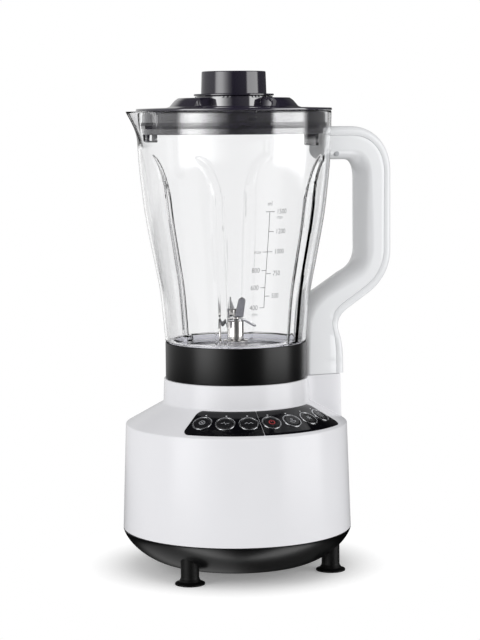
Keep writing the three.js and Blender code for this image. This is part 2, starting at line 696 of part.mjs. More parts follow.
function motorGroup() {
  const group = new THREE.Group();
  const bore = SHAFT_RADIUS + GAP;
  add(group, 'motor_stator', stator(), iron);
  add(group, 'field_coil_left', fieldCoil(-1), copper);
  add(group, 'field_coil_right', fieldCoil(1), copper);
  add(group, 'motor_armature', sleeve(COIL_INNER - 2.5, bore, CORE_LOW - 3, CORE_HIGH + 3, 24), iron);
  add(group, 'commutator', sleeve(11, bore, 57, 67, 24), copper);
  add(group, 'brush_left', brush(-1), carbon);
  add(group, 'brush_right', brush(1), carbon);
  add(group, 'motor_shaft', rod(SHAFT_RADIUS, 44, DECK_TOP + 4.5, 16), steel);
  add(group, 'motor_fan', fan(), nylon);
  add(group, 'upper_frame', endFrame(UPPER_FRAME, UPPER_FRAME + 1, UPPER_FRAME + 8), iron);
  add(group, 'lower_frame', endFrame(LOWER_FRAME, LOWER_FRAME - 5, LOWER_FRAME + 1.5), iron);
  add(group, 'upper_bearing', sleeve(BEARING_RADIUS, bore, UPPER_FRAME + 1, UPPER_FRAME + 7, 24), steel);
  add(group, 'lower_bearing', sleeve(BEARING_RADIUS, bore, LOWER_FRAME - 4, LOWER_FRAME + 2, 24), steel);
  add(group, 'drive_coupling', driveCoupling(), nylon);
  for (const [name, x] of [['left', -30], ['right', 30]]) {
    const low = SKIRT_BOTTOM + WALL + GAP;
    const height = LOWER_FRAME - GAP - low;
    add(group, `motor_mount_${name}`, new THREE.BoxGeometry(10, 50, height), rubber)
      .position.set(x, 0, low + height / 2);
  }
  return group;
}

function jugGroup() {
  const group = new THREE.Group();
  add(group, 'jug_body', jugBody(), clear);
  add(group, 'jug_collar', collar(), black);
  add(group, 'handle_grip', handleGrip(), grip);
  add(group, 'handle_spine', handleSpine(), grip);
  for (const [name, height] of Object.entries(SCREW_HEIGHTS)) {
    add(group, `handle_screw_${name}`, handleScrew(height), steel);
  }
  add(group, 'blade_hub', bladeHub(), steel);
  add(group, 'jug_seal', jugSeal(), silicone);
  add(group, 'blade_gasket', sleeve(13.5, 8.5, 184.9, 186.7, 24), rubber);
  add(group, 'blade_nut', cut(rod(14, 180.8, 184.6, 6), rod(8.5, 170, 190, 24)), steel);
  add(group, 'blade_shaft', rod(BLADE_SHAFT_RADIUS, 164.5, TALL_PAIR + 1.1, 16), steel);
  add(group, 'blade_low_pair', lowBlades(), steel);
  add(group, 'blade_tall_pair', tallBlades(), steel);
  add(group, 'blade_cap_nut', capNut(), steel);
  add(group, 'jug_coupling', jugCoupling(), black);
  return group;
}

function lidGroup() {
  const group = new THREE.Group();
  add(group, 'lid', lid(), smoke);
  add(group, 'lid_gasket', lidGasket(), rubber);
  add(group, 'measuring_cap', measuringCap(), smoke);
  return group;
}

const blender = new THREE.Group();
blender.add(baseGroup(), motorGroup(), jugGroup(), lidGroup());
blender.position.x = AXIS_OFFSET;

export default blender;
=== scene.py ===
import math

import bmesh
import bpy
from mathutils import Matrix, Vector


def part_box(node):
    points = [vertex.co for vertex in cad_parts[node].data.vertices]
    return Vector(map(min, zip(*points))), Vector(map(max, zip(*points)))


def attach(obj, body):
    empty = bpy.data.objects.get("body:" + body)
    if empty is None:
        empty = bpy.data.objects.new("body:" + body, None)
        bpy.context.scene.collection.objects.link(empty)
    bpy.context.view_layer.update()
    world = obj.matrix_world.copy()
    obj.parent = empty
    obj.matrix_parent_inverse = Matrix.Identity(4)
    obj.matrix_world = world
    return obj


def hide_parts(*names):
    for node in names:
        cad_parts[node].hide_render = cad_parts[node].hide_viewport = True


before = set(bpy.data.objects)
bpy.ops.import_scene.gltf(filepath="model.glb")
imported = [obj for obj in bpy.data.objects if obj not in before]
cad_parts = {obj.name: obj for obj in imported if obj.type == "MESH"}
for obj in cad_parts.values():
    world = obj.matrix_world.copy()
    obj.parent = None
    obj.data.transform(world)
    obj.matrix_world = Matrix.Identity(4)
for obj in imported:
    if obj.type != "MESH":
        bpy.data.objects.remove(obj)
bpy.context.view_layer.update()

# ---- driving dimensions, read from the frame; millimetres from the drive axis and from the table ----
MM = 0.001


def low_high(node):
    low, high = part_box(node)
    return low / MM, high / MM


collar_low, collar_high = low_high("jug_collar")
housing_low, housing_high = low_high("base_housing")
skirt_low, skirt_high = low_high("base_skirt")
jug_low, jug_high = low_high("jug_body")
lid_low, lid_high = low_high("lid")
cap_low, cap_high = low_high("measuring_cap")
spine_low, spine_high = low_high("handle_spine")

AXIS_X = (collar_low.x + collar_high.x) / 2
COLLAR_RADIUS = (collar_high.x - collar_low.x) / 2
COLLAR_TOP = collar_high.z
SPIGOT_BOTTOM = collar_low.z
BASE_RADIUS = (housing_high.x - housing_low.x) / 2
HOUSING_BOTTOM = housing_low.z
NECK_TOP = housing_high.z
SKIRT_TOP = skirt_high.z
SKIRT_BOTTOM = skirt_low.z
JUG_BOTTOM = jug_low.z
JUG_RIM = jug_high.z
SPOUT_TIP = AXIS_X - jug_low.x
LID_RADIUS = (lid_high.x - lid_low.x) / 2
LID_TOP = lid_high.z
LID_BOTTOM = lid_low.z
CAP_FLANGE = (cap_high.x - cap_low.x) / 2
CAP_TOP = cap_high.z
CAP_BOTTOM = cap_low.z
HANDLE_REACH = spine_high.x - AXIS_X
HANDLE_TOP = spine_high.z
HANDLE_FOOT = spine_low.z
HANDLE_HALF = (spine_high.y - spine_low.y) / 2

# ---- shape constants that the boxes above don't give ----
RIM_RADIUS = BASE_RADIUS - 3.1
RIM_HEIGHT = NECK_TOP - 38.5
NECK_RADIUS = 62.0
NECK_FOOT = NECK_TOP - 20.3
CONE_SLOPE = math.atan2(NECK_FOOT - RIM_HEIGHT, RIM_RADIUS - NECK_RADIUS)
DECK_TOP = SPIGOT_BOTTOM - 0.3
WALL = 2.7
BUTTON_COUNT = 7
BUTTON_PITCH = 14.3
BUTTON_CIRCLE = 77.5
RING_RADIUS = 8.25
CAP_RADIUS = 7.0


# ---- mesh helpers ----
def spot(angle, radius, height):
    """A point at an angle from the front, in degrees, as a frame position in metres."""
    a = math.radians(angle)
    return ((AXIS_X + radius * math.sin(a)) * MM, -radius * math.cos(a) * MM, height * MM)


def finish_mesh(name, vertices, faces, body, node_names=(), sharp=32.0):
    """Makes the object, joins doubled points, turns faces out, and binds it to its body and CAD nodes."""
    mesh = bpy.data.meshes.new(name)
    mesh.from_pydata(vertices, [], faces)
    work = bmesh.new()
    work.from_mesh(mesh)
    bmesh.ops.remove_doubles(work, verts=work.verts, dist=1e-6)
    bmesh.ops.dissolve_degenerate(work, edges=work.edges, dist=1e-7)
    bmesh.ops.recalc_face_normals(work, faces=work.faces)
    work.to_mesh(mesh)
    work.free()
    obj = bpy.data.objects.new(name, mesh)
    bpy.context.scene.collection.objects.link(obj)
    smooth(obj, sharp)
    bind(obj, body, node_names)
    return obj


def smooth(obj, sharp=32.0):
    obj.data.shade_smooth()
    obj.data.set_sharp_from_angle(angle=math.radians(sharp))


def bind(obj, body, node_names=()):
    """Says which body the object rides on, and which CAD nodes it takes the place of."""
    if body:
        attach(obj, body)
    if node_names:
        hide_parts(*node_names)


def grid_faces(rows, columns, wrap_rows=False, wrap_columns=False):
    """The quads of a grid of points that is stored row by row; either direction may close on itself."""
    faces = []
    for i in range(rows if wrap_rows else rows - 1):
        for j in range(columns if wrap_columns else columns - 1):
            a, b = i * columns + j, i * columns + (j + 1) % columns
            k = ((i + 1) % rows) * columns
            faces.append((a, b, k + (j + 1) % columns, k + j))
    return faces


def rounded(points, radii, steps=5, closed=False):
    """A profile whose corners are arcs: one radius per point, 0 for a sharp corner."""
    result = []
    count = len(points)
    for i, (point, radius) in enumerate(zip(points, radii)):
        here = Vector(point)
        ends = not closed and i in (0, count - 1)
        if radius <= 0 or ends:
            result.append((here.x, here.y))
            continue
        before = Vector(points[i - 1]) - here
        after = (Vector(points[(i + 1) % count]) - here)
        half = before.angle(after) / 2
        reach = min(radius / math.tan(half), before.length * 0.49, after.length * 0.49)
        start, end = here + before.normalized() * reach, here + after.normalized() * reach
        for k in range(steps + 1):
            t = k / steps
            p = start * (1 - t) ** 2 + here * 2 * t * (1 - t) + end * t ** 2
            result.append((p.x, p.y))
    return result


def revolved(name, profile, body, node_names=(), closed=True, columns=192, warp=None, sharp=32.0):
    """Revolves a (radius, height) profile about the drive axis; warp may move each point."""
    vertices = []
    for radius, height in profile:
        for j in range(columns):
            angle = 360.0 * j / columns - 180.0
            r, h = warp(angle, radius, height) if warp else (radius, height)
            vertices.append(spot(angle, r, h))
    faces = grid_faces(len(profile), columns, closed, True)
    return finish_mesh(name, vertices, faces, body, node_names, sharp)


def turned_at(name, profile, centre, body, node_names=(), columns=64, matrix=None, sharp=32.0):
    """Revolves a (radius, height) profile that starts and ends on its own axis, at a place of its own."""
    vertices = []
    for radius, height in profile:
        for j in range(columns):
            a = 2 * math.pi * j / columns
            p = Vector((radius * math.cos(a), radius * math.sin(a), height))
            if matrix:
                p = matrix @ p
            vertices.append(((AXIS_X + p.x + centre[0]) * MM, (p.y + centre[1]) * MM, (p.z + centre[2]) * MM))
    closed = profile[0][0] > 0
    faces = grid_faces(len(profile), columns, closed, True)
    return finish_mesh(name, vertices, faces, body, node_names, sharp)


def soft_min(a, b, width):
    """The lesser of two values, with the corner between them rounded over `width`."""
    h = max(width - abs(a - b), 0.0) / width
    return min(a, b) - h * h * width * 0.25


def soft_max(a, b, width):
    return -soft_min(-a, -b, width)


def ease(value, low, high):
    """0 below `low`, 1 above `high`, and a smooth step between."""
    t = min(1.0, max(0.0, (value - low) / (high - low)))
    return t * t * (3 - 2 * t)


def away(angle, target):
    """Degrees between two directions, 0 to 180."""
    return abs((angle - target + 540.0) % 360.0 - 180.0)


# ---- materials ----
def node(tree, kind, **values):
    """Adds a shader node; each value goes to the input socket or the setting of that name."""
    made = tree.nodes.new(kind)
    for key, value in values.items():
        if key in made.inputs:
            made.inputs[key].default_value = value
        else:
            setattr(made, key, value)
    return made


def surface(
    name, color, roughness, metallic=0.0, tint=0.03, uneven=0.04, grain=350.0, bump=0.02, stretch=(1, 1, 1),
    **sockets,
):
    """A moulded, ground or coated surface: slow colour drift, uneven gloss and a fine relief, from noise."""
    made = bpy.data.materials.new(name)
    made.use_nodes = True
    tree = made.node_tree
    shader = tree.nodes["Principled BSDF"]
    shader.inputs["Metallic"].default_value = metallic
    for key, value in sockets.items():
        shader.inputs[key.replace("_", " ")].default_value = value
    place = node(tree, "ShaderNodeTexCoord")
    mapping = node(tree, "ShaderNodeMapping")
    mapping.inputs["Scale"].default_value = stretch
    tree.links.new(place.outputs["Object"], mapping.inputs["Vector"])
    slow = node(tree, "ShaderNodeTexNoise", Scale=grain / 25, Detail=3.0)
    fine = node(tree, "ShaderNodeTexNoise", Scale=grain, Detail=4.0)
    for texture in (slow, fine):
        tree.links.new(mapping.outputs["Vector"], texture.inputs["Vector"])
    ramp = node(tree, "ShaderNodeValToRGB")
    for point, position, shift in zip(ramp.color_ramp.elements, (0.3, 0.7), (-tint, tint)):
        point.position = position
        point.color = [min(1.0, c * (1 + shift)) for c in color] + [1]
    tree.links.new(slow.outputs["Fac"], ramp.inputs["Fac"])
    tree.links.new(ramp.outputs["Color"], shader.inputs["Base Color"])
    gloss = node(tree, "ShaderNodeMapRange")
    gloss.inputs["To Min"].default_value = max(0.0, roughness - uneven)
    gloss.inputs["To Max"].default_value = roughness + uneven
    tree.links.new(fine.outputs["Fac"], gloss.inputs["Value"])
    tree.links.new(gloss.outputs["Result"], shader.inputs["Roughness"])
    relief = node(tree, "ShaderNodeBump", Strength=bump, Distance=0.0004)
    tree.links.new(fine.outputs["Fac"], relief.inputs["Height"])
    tree.links.new(relief.outputs["Normal"], shader.inputs["Normal"])
    return made


def paint(obj, made):
    obj.data.materials.clear()
    obj.data.materials.append(made)
    return obj


white_shell = surface(
    "white_shell", (0.775, 0.775, 0.80), 0.22, bump=0.02, tint=0.012, uneven=0.03, Specular_IOR_Level=0.35,
)
black_shell = surface(
    "black_shell", (0.0010, 0.0010, 0.0012), 0.3, bump=0.006, tint=0.15, uneven=0.02, Specular_IOR_Level=0.32,
)
piano_black = surface(
    "piano_black", (0.002, 0.002, 0.003), 0.08, bump=0.006, tint=0.2, uneven=0.03, Specular_IOR_Level=0.3,
)

key_black = surface("key_black", (0.006, 0.006, 0.007), 0.2, bump=0.02, tint=0.2)
bright_ring = surface("bright_ring", (0.75, 0.76, 0.78), 0.14, metallic=1.0, grain=900, bump=0.02)
foot_black = surface(
    "foot_black", (0.002, 0.002, 0.002), 0.5, bump=0.1, tint=0.2, grain=500, Specular_IOR_Level=0.2,
)
smoke = surface(
    "smoke", (0.020, 0.017, 0.030), 0.07, bump=0.006, tint=0.1, uneven=0.03, IOR=1.75, Coat_Weight=1.0,
    Coat_Roughness=0.02, Coat_IOR=1.8,
)
smoke_cap = surface(
    "smoke_cap", (0.014, 0.012, 0.022), 0.09, bump=0.006, tint=0.1, uneven=0.03, Specular_IOR_Level=0.9,
)
# The grip's material emits a little light though it is no lamp: painted light that fills the handle's shaded
# faces.
grip_white_painted_light = surface(
    "grip_white_painted_light", (0.71, 0.72, 0.735), 0.2, bump=0.02, tint=0.01, uneven=0.03, Emission_Color=(1, 1, 1, 1),
    Emission_Strength=0.09,
)
blade_steel = surface(
    "blade_steel", (0.46, 0.46, 0.47), 0.26, metallic=1.0, grain=700, bump=0.08, stretch=(1, 1, 0.08),
)
turned_steel = surface(
    "turned_steel", (0.82, 0.80, 0.78), 0.13, metallic=1.0, grain=700, bump=0.03, stretch=(0.15, 0.15, 3),
)
print_grey = surface("print_grey", (0.07, 0.07, 0.08), 0.5, tint=0.2)
print_pale = surface("print_pale", (0.42, 0.43, 0.45), 0.45, tint=0.1)
print_white = surface("print_white", (0.72, 0.73, 0.75), 0.45, tint=0.05)
print_red = surface("print_red", (0.45, 0.03, 0.035), 0.4, tint=0.1)
clear_plastic = surface(
    "clear_plastic", (0.992, 0.994, 0.999), 0.012, tint=0.003, uneven=0.008, grain=60, bump=0.004,
    Transmission_Weight=1.0, IOR=1.49, Specular_IOR_Level=0.25,
)
iron = surface(
    "iron", (0.16, 0.165, 0.17), 0.45, metallic=0.9, grain=600, bump=0.15, stretch=(0.2, 0.2, 3),
)
copper = surface(
    "copper", (0.45, 0.19, 0.08), 0.35, metallic=0.9, grain=900, bump=0.3, stretch=(0.3, 0.3, 4),
)
board_green = surface("board_green", (0.02, 0.11, 0.045), 0.4, grain=500, bump=0.1, tint=0.2)
nylon = surface("nylon", (0.28, 0.285, 0.3), 0.5, bump=0.06)
# The seal's material emits light though it is no lamp: painted light that stands in for the light the jug's
# wall keeps from it.
silicone_painted_light = surface(
    "silicone_painted_light", (0.80, 0.80, 0.83), 0.5, bump=0.05, tint=0.02, Emission_Color=(0.92, 0.92, 1.0, 1),
    Emission_Strength=0.42,
)
carbon = surface("carbon", (0.03, 0.03, 0.032), 0.7, bump=0.2, tint=0.2)


# ---- motor base ----
LOBE_HALF = 19.5
LOBE_REACH = 92.3
SOCKET_RADIUS = 58.5
PANEL_INNER, PANEL_OUTER, PANEL_MIDDLE = 63.2, 91.3, 78.0
PANEL_LIFT = 0.32
PANEL_THICKNESS = 1.1


def cone_height(radius):
    """Height of the cone shoulder's face at a distance from the drive axis."""
    return RIM_HEIGHT + (RIM_RADIUS - radius) * math.tan(CONE_SLOPE)


def neck_outline(angle):
    """Distance from the axis to the neck's wall: a circle with the handle's lobe blended into it."""
    off = math.radians(angle - 90.0)
    if math.cos(off) <= 0:
        return NECK_RADIUS
    side = LOBE_HALF / max(abs(math.sin(off)), 1e-3)
    return soft_max(NECK_RADIUS, soft_min(side, LOBE_REACH, 8.0), 7.0)


def housing_column(angle):
    """The housing's closed cross-section at one angle, from the deck round the outside and back inside."""
    wall = neck_outline(angle)
    deck_under = DECK_TOP - 2.5
    return rounded(
        [
            (14.5, deck_under), (14.5, DECK_TOP), (SOCKET_RADIUS, DECK_TOP), (SOCKET_RADIUS, NECK_TOP),
            (wall - 0.7, NECK_TOP), (wall, cone_height(wall)), (RIM_RADIUS, RIM_HEIGHT),
            (BASE_RADIUS, HOUSING_BOTTOM), (BASE_RADIUS - WALL, HOUSING_BOTTOM),
            (RIM_RADIUS - WALL, RIM_HEIGHT - 1.9), (59, 139), (59, deck_under),
        ],
        [0.3, 0.3, 0.8, 0.7, 1.1, 3.2, 1.7, 0.4, 0.4, 2, 2, 2],
        closed=True,
    )


def cone_point(angle, radius, lift):
    """A point `lift` off the cone shoulder, square to its face."""
    height = cone_height(radius) + lift * math.cos(CONE_SLOPE)
    return spot(angle, radius + lift * math.sin(CONE_SLOPE), height)


def button_matrix(angle):
    """Turns a piece made about its own Z axis so that it stands square on the cone shoulder."""
    return Matrix.Rotation(math.radians(angle), 4, "Z") @ Matrix.Rotation(CONE_SLOPE, 4, "X")


def button_centre(angle):
    a = math.radians(angle)
    return (BUTTON_CIRCLE * math.sin(a), -BUTTON_CIRCLE * math.cos(a), cone_height(BUTTON_CIRCLE))


BUTTON_ANGLES = [(i - (BUTTON_COUNT - 1) / 2) * BUTTON_PITCH for i in range(BUTTON_COUNT)]


def baked(obj):
    """Replaces the object's mesh by its modified mesh."""
    graph = bpy.context.evaluated_depsgraph_get()
    obj.data = bpy.data.meshes.new_from_object(obj.evaluated_get(graph))
    obj.modifiers.clear()
    return obj


def bored(obj, cutters):
    """Cuts the shapes of the cutter objects out of obj."""
    for cutter in cutters:
        hole = obj.modifiers.new("hole", "BOOLEAN")
        hole.operation = "DIFFERENCE"
        hole.solver = "EXACT"
        hole.object = cutter
    return baked(obj)


def discard(objects):
    for obj in objects:
        bpy.data.objects.remove(obj)


def eased_edges(obj, width, limit):
    """Rounds every edge that turns by more than `limit` degrees."""
    edge = obj.modifiers.new("edge", "BEVEL")
    edge.width = width * MM
    edge.segments = 2
    edge.limit_method = "ANGLE"
    edge.angle_limit = math.radians(limit)
    return baked(obj)


def button_cutters():
    """One plug for each key's hole, with a fine clearance round the key."""
    hole = CAP_RADIUS + 0.35
    profile = [(0, -4.5), (hole, -4.5), (hole, 3), (0, 3)]
    cutters = []
    for i, angle in enumerate(BUTTON_ANGLES):
        centre, turn = button_centre(angle), button_matrix(angle)
        cutters.append(turned_at(f"cutter_{i}", profile, centre, None, columns=48, matrix=turn))
    return cutters


def make_housing():
    """The white shell, with closer columns where the lobe leaves the neck."""
    angles = []
    angle = -180.0
    while angle < 180.0 - 1e-6:
        angles.append(angle)
        angle += 0.5 if 8 <= abs(angle - 90) <= 30 else 1.5
    columns = [housing_column(a) for a in angles]
    rows = len(columns[0])
    vertices = [spot(a, *column[i]) for i in range(rows) for a, column in zip(angles, columns)]
    faces = grid_faces(rows, len(angles), True, True)
    shell = finish_mesh("shell", vertices, faces, None)
    cutters = button_cutters()
    bored(shell, cutters)
    discard(cutters)
    smooth(shell)
    bind(shell, "base", ["base_housing"])
    paint(shell, white_shell)


def make_panel(name, start, end, corner_first, corner_last, node_name):
    """A plate bent onto the cone shoulder, with its own corner radius at each end."""
    length = math.radians(end - start) * PANEL_MIDDLE
    eased = [1 - math.cos(math.pi / 2 * k / 8) for k in range(9)]
    run = length - corner_first - corner_last
    stations = [corner_first * part for part in eased]
    stations += [corner_first + run * k / 40 for k in range(1, 40)]
    stations += [length - corner_last * part for part in reversed(eased)]
    rows = 10
    vertices = []
    for x in stations:
        corner, near = (corner_first, x) if x < length / 2 else (corner_last, length - x)
        inset = corner - math.sqrt(max(0.0, corner ** 2 - (corner - near) ** 2)) if near < corner else 0.0
        for k in range(rows + 1):
            radius = PANEL_INNER + inset + (PANEL_OUTER - PANEL_INNER - 2 * inset) * k / rows
            vertices.append(cone_point(start + math.degrees(x / PANEL_MIDDLE), radius, PANEL_LIFT))
    plate = finish_mesh(name, vertices, grid_faces(len(stations), rows + 1), None)
    thick = plate.modifiers.new("thick", "SOLIDIFY")
    thick.thickness = PANEL_THICKNESS * MM
    thick.offset = -1
    eased_edges(plate, 0.28, 50)
    cutters = button_cutters()
    bored(plate, cutters)
    discard(cutters)
    smooth(plate)
    bind(plate, "base", [node_name])
    paint(plate, piano_black)


def make_button(index, angle):
    """One key and the bright ring round it."""
    centre, turn = button_centre(angle), button_matrix(angle)
    ring_profile = rounded(
        [(CAP_RADIUS + 0.3, -0.3), (RING_RADIUS, -0.3), (RING_RADIUS, 0.85), (CAP_RADIUS + 0.3, 0.85)],
        [0.05, 0.05, 0.4, 0.3],
        closed=True,
    )
    replaced = [f"button_ring_{index}"]
    ring = turned_at(f"ring_{index}", ring_profile, centre, "base", replaced, 72, turn)
    paint(ring, bright_ring)
    key_profile = rounded(
        [(0, -8), (3, -8), (3, -0.9), (CAP_RADIUS, -0.9), (CAP_RADIUS, 1.0), (5.6, 1.15), (0, 0.95)],
        [0, 0.3, 0, 0.2, 0.5, 0.6, 0],
    )
    body, replaced = f"key_{index}", [f"button_{index}"]
    key = turned_at(f"key_{index}_cap", key_profile, centre, body, replaced, 72, turn)
    paint(key, key_black)


def strokes(name, lines, width, lift, body, place_point, thickness=0.06):
    """Flat printed strokes: each line is a list of (x, y), drawn `width` wide and mapped by place_point."""
    vertices, faces = [], []
    for line in lines:
        points = [Vector(p) for p in line]
        start = len(vertices)
        for i, p in enumerate(points):
            along = (points[min(i + 1, len(points) - 1)] - points[max(i - 1, 0)]).normalized()
            side = Vector((-along.y, along.x)) * width / 2
            for q, up in ((p + side, 0), (p - side, 0), (p - side, thickness), (p + side, thickness)):
                vertices.append(place_point(q.x, q.y, lift + up))
        for i in range(len(points) - 1):
            a, b = start + 4 * i, start + 4 * i + 4
            faces += [(a + k, a + (k + 1) % 4, b + (k + 1) % 4, b + k) for k in range(4)]
        last = len(vertices) - 4
        faces += [(start, start + 1, start + 2, start + 3), (last, last + 1, last + 2, last + 3)]
    return finish_mesh(name, vertices, faces, body)


def arc_line(cx, cy, radius, start, end, steps=18):
    """Points along an arc between two angles in degrees."""
    turns = [math.radians(start + (end - start) * k / steps) for k in range(steps + 1)]
    return [(cx + radius * math.cos(t), cy + radius * math.sin(t)) for t in turns]


SNOW_ARMS = [
    [(math.cos(a) * 2.8, math.sin(a) * 2.8), (-math.cos(a) * 2.8, -math.sin(a) * 2.8)]
    for a in (0.0, math.pi / 3, 2 * math.pi / 3)
]
POWER_KEY = 4
ICONS = {
    1: [arc_line(0, 0, 2.4, 0, 360), [(-1.2, -1.2), (1.2, 1.2)], [(-1.2, 1.2), (1.2, -1.2)]],
    2: [[(-3.4, 0), (-1.6, 0), (-0.8, 1.5), (0.6, -1.5), (1.5, 0), (3.4, 0)]],
    3: [[(-3.4, -0.8), (-1.7, 0.8), (0, -0.8), (1.7, 0.8), (3.4, -0.8)]],
    POWER_KEY: [arc_line(0, -0.2, 2.4, 120, 420), [(0, 0.4), (0, 3.0)]],
    5: [arc_line(0, 0, 2.9, 200, 340), [(-2.7, -0.8), (2.7, -0.8)], arc_line(0, 1.4, 0.9, 0, 360, 12)],
    6: SNOW_ARMS + [arc_line(0, 0, 1.2, 0, 360, 12)],
    7: [[(-1.6, 2.6), (-1.2, -2.4), (1.2, -2.4), (1.6, 2.6), (-1.6, 2.6)]],
}


def make_icons():
    """A pictogram on each key, red on the power key, and a short pale mark on the panel over it."""
    for index, angle in enumerate(BUTTON_ANGLES, 1):
        turn, centre = button_matrix(angle), Vector(button_centre(angle))

        def on_key(x, y, lift, turn=turn, centre=centre):
            p = centre + turn @ Vector((x, y, lift))
            return ((AXIS_X + p.x) * MM, p.y * MM, p.z * MM)

        width, ink = (0.55, print_red) if index == POWER_KEY else (0.4, print_pale)
        body = f"key_{index}"
        paint(strokes(f"icon_{index}", ICONS[index], width, 1.13, body, on_key), ink)
        dash = [[(-0.62, 10.4), (0.62, 10.4)]]
        paint(strokes(f"mark_{index}", dash, 0.85, 0.34, "base", on_key), print_white)


SKIRT_FLAT_RADIUS = 62.0
SKIRT_BULGE = 4 / 3
VENT_ROWS = (-30, -18, -6, 6, 18, 30)
VENT_SIZE = (0.064, 0.004, 0.02)


def skirt_curve(radius, height, steps):
    """The skirt's side: a flattened quarter turn from the flat underside up to the top edge."""
    points = []
    for k in range(steps + 1):
        t = math.pi / 2 * k / steps
        out, drop = math.sin(t) ** SKIRT_BULGE, max(0.0, math.cos(t)) ** SKIRT_BULGE
        points.append((SKIRT_FLAT_RADIUS + radius * out, SKIRT_TOP - height * drop))
    return points


def make_skirt():
    """The black bottom shell, with vent slots through its underside."""
    depth = SKIRT_TOP - SKIRT_BOTTOM
    outer = skirt_curve(BASE_RADIUS - SKIRT_FLAT_RADIUS, depth, 32)
    outer[-1] = (BASE_RADIUS, SKIRT_TOP - 0.5)
    edge = [(BASE_RADIUS - 0.5, SKIRT_TOP), (BASE_RADIUS - WALL, SKIRT_TOP)]
    inner = skirt_curve(BASE_RADIUS - WALL - SKIRT_FLAT_RADIUS, depth - WALL, 16)[::-1]
    profile = [(0, SKIRT_BOTTOM), (40, SKIRT_BOTTOM)] + outer + edge + inner + [(0, SKIRT_BOTTOM + WALL)]
    skirt = revolved("bottom_shell", profile, None, closed=False, columns=240)
    slots = []
    for y in VENT_ROWS:
        bpy.ops.mesh.primitive_cube_add(size=1, location=(AXIS_X * MM, y * MM, SKIRT_BOTTOM * MM))
        slot = bpy.context.object
        slot.scale = VENT_SIZE
        slots.append(slot)
    bpy.context.view_layer.update()
    bored(skirt, slots)
    discard(slots)
    smooth(skirt)
    bind(skirt, "base", ["base_skirt"])
    paint(skirt, black_shell)


def make_feet():
    """Four suction feet on round legs that run up into the skirt."""
    leg_top = low_high("foot_front_left")[1].z
    profile = rounded(
        [
            (0, 1.4), (8.5, 1.0), (9.7, 0), (12.4, 0), (12.4, 1.3), (9.2, 2.6), (7.6, 5.6), (7.6, leg_top),
            (0, leg_top),
        ],
        [0, 0.4, 0.2, 0.3, 0.5, 1.5, 3.5, 0.4, 0],
    )
    for corner in ("front_left", "front_right", "rear_right", "rear_left"):
        low, high = low_high(f"foot_{corner}")
        centre = ((low.x + high.x) / 2 - AXIS_X, (low.y + high.y) / 2, 0)
        replaced = [f"foot_{corner}"]
        foot = turned_at(f"sucker_{corner}", profile, centre, "base", replaced, 72)
        paint(foot, foot_black)


# ---- jug ----
JUG_FOOT = 195
JUG_FLOOR = 190
RIM_OUTER = 82.0
JUG_KNOTS = [
    (JUG_FOOT, 59.9), (208, 61), (237, 64), (266, 69.4), (300, 75.6), (330, 79.2), (354, 81.2),
    (JUG_RIM, RIM_OUTER),
]
RIB_DEPTH = 4.0
RIB_ANGLE = 32.0
RIB_BEND = JUG_RIM - 76.0
RIB_RISE = 37.0
RIB_SWEEP = 13.0
SPOUT_ROOT = JUG_RIM - 30.6
SPOUT_HALF_ANGLE = 16.0


def through(knots, at):
    """A smooth curve through (position, value) knots."""
    k = max(i for i in range(len(knots) - 1) if i == 0 or knots[i][0] <= at)
    before, a, b, after = (knots[min(max(k + d, 0), len(knots) - 1)] for d in (-1, 0, 1, 2))
    t = (at - a[0]) / (b[0] - a[0])
    slope_a = (b[1] - before[1]) / (b[0] - before[0]) * (b[0] - a[0])
    slope_b = (after[1] - a[1]) / (after[0] - a[0]) * (b[0] - a[0])
    return (
        (2 * t ** 3 - 3 * t ** 2 + 1) * a[1] + (t ** 3 - 2 * t ** 2 + t) * slope_a
        + (3 * t ** 2 - 2 * t ** 3) * b[1] + (t ** 3 - t ** 2) * slope_b
    )


def jug_radius(height):
    return through(JUG_KNOTS, min(max(height, JUG_KNOTS[0][0]), JUG_RIM))


def rib_line():
    """The middle of one rib in the first quarter: straight up, then swept towards the jug's side."""
    points = [(RIB_ANGLE, RIB_BEND, 0.0)]
    steps = 24
    for k in range(1, steps + 1):
        turn = math.radians(82 * k / steps)
        across = RIB_ANGLE + RIB_SWEEP * (1 - math.cos(turn))
        points.append((across, RIB_BEND + RIB_RISE * math.sin(turn), k / steps))
    return points


RIB_LINE = rib_line()


def rib_offset(angle, height):
    """How far the wall is folded in at a point: the ribs mirror each other in all four quarters."""
    folded = abs(angle) if abs(angle) <= 90 else 180 - abs(angle)
    beside = not RIB_ANGLE - 12 < folded < RIB_ANGLE + RIB_SWEEP + 12
    if beside or height > RIB_BEND + RIB_RISE + 8:
        return 0.0
    scale = math.radians(1) * jug_radius(height)
    if height <= RIB_BEND:
        reach, along = abs(folded - RIB_ANGLE) * scale, 0.0
    else:
        reach, along = min((math.hypot((folded - a) * scale, height - h), t) for a, h, t in RIB_LINE)
    fold = 1 - ease(reach, 2.6 * (1 - 0.75 * along), 6.4 * (1 - 0.6 * along))
    return -RIB_DEPTH * (1 - 0.72 * along) * fold


def jug_offset(angle, height):
    """How far the wall leaves its round shape: in at the ribs, and out at the spout."""
    spread = away(angle, -90.0) / SPOUT_HALF_ANGLE
    side = max(0.0, 1.12 - math.sqrt(spread ** 2 + 0.0144))
    rise = max(0.0, (height - SPOUT_ROOT) / (JUG_RIM - SPOUT_ROOT))
    return rib_offset(angle, height) + (SPOUT_TIP - RIM_OUTER) * side * rise ** 1.3


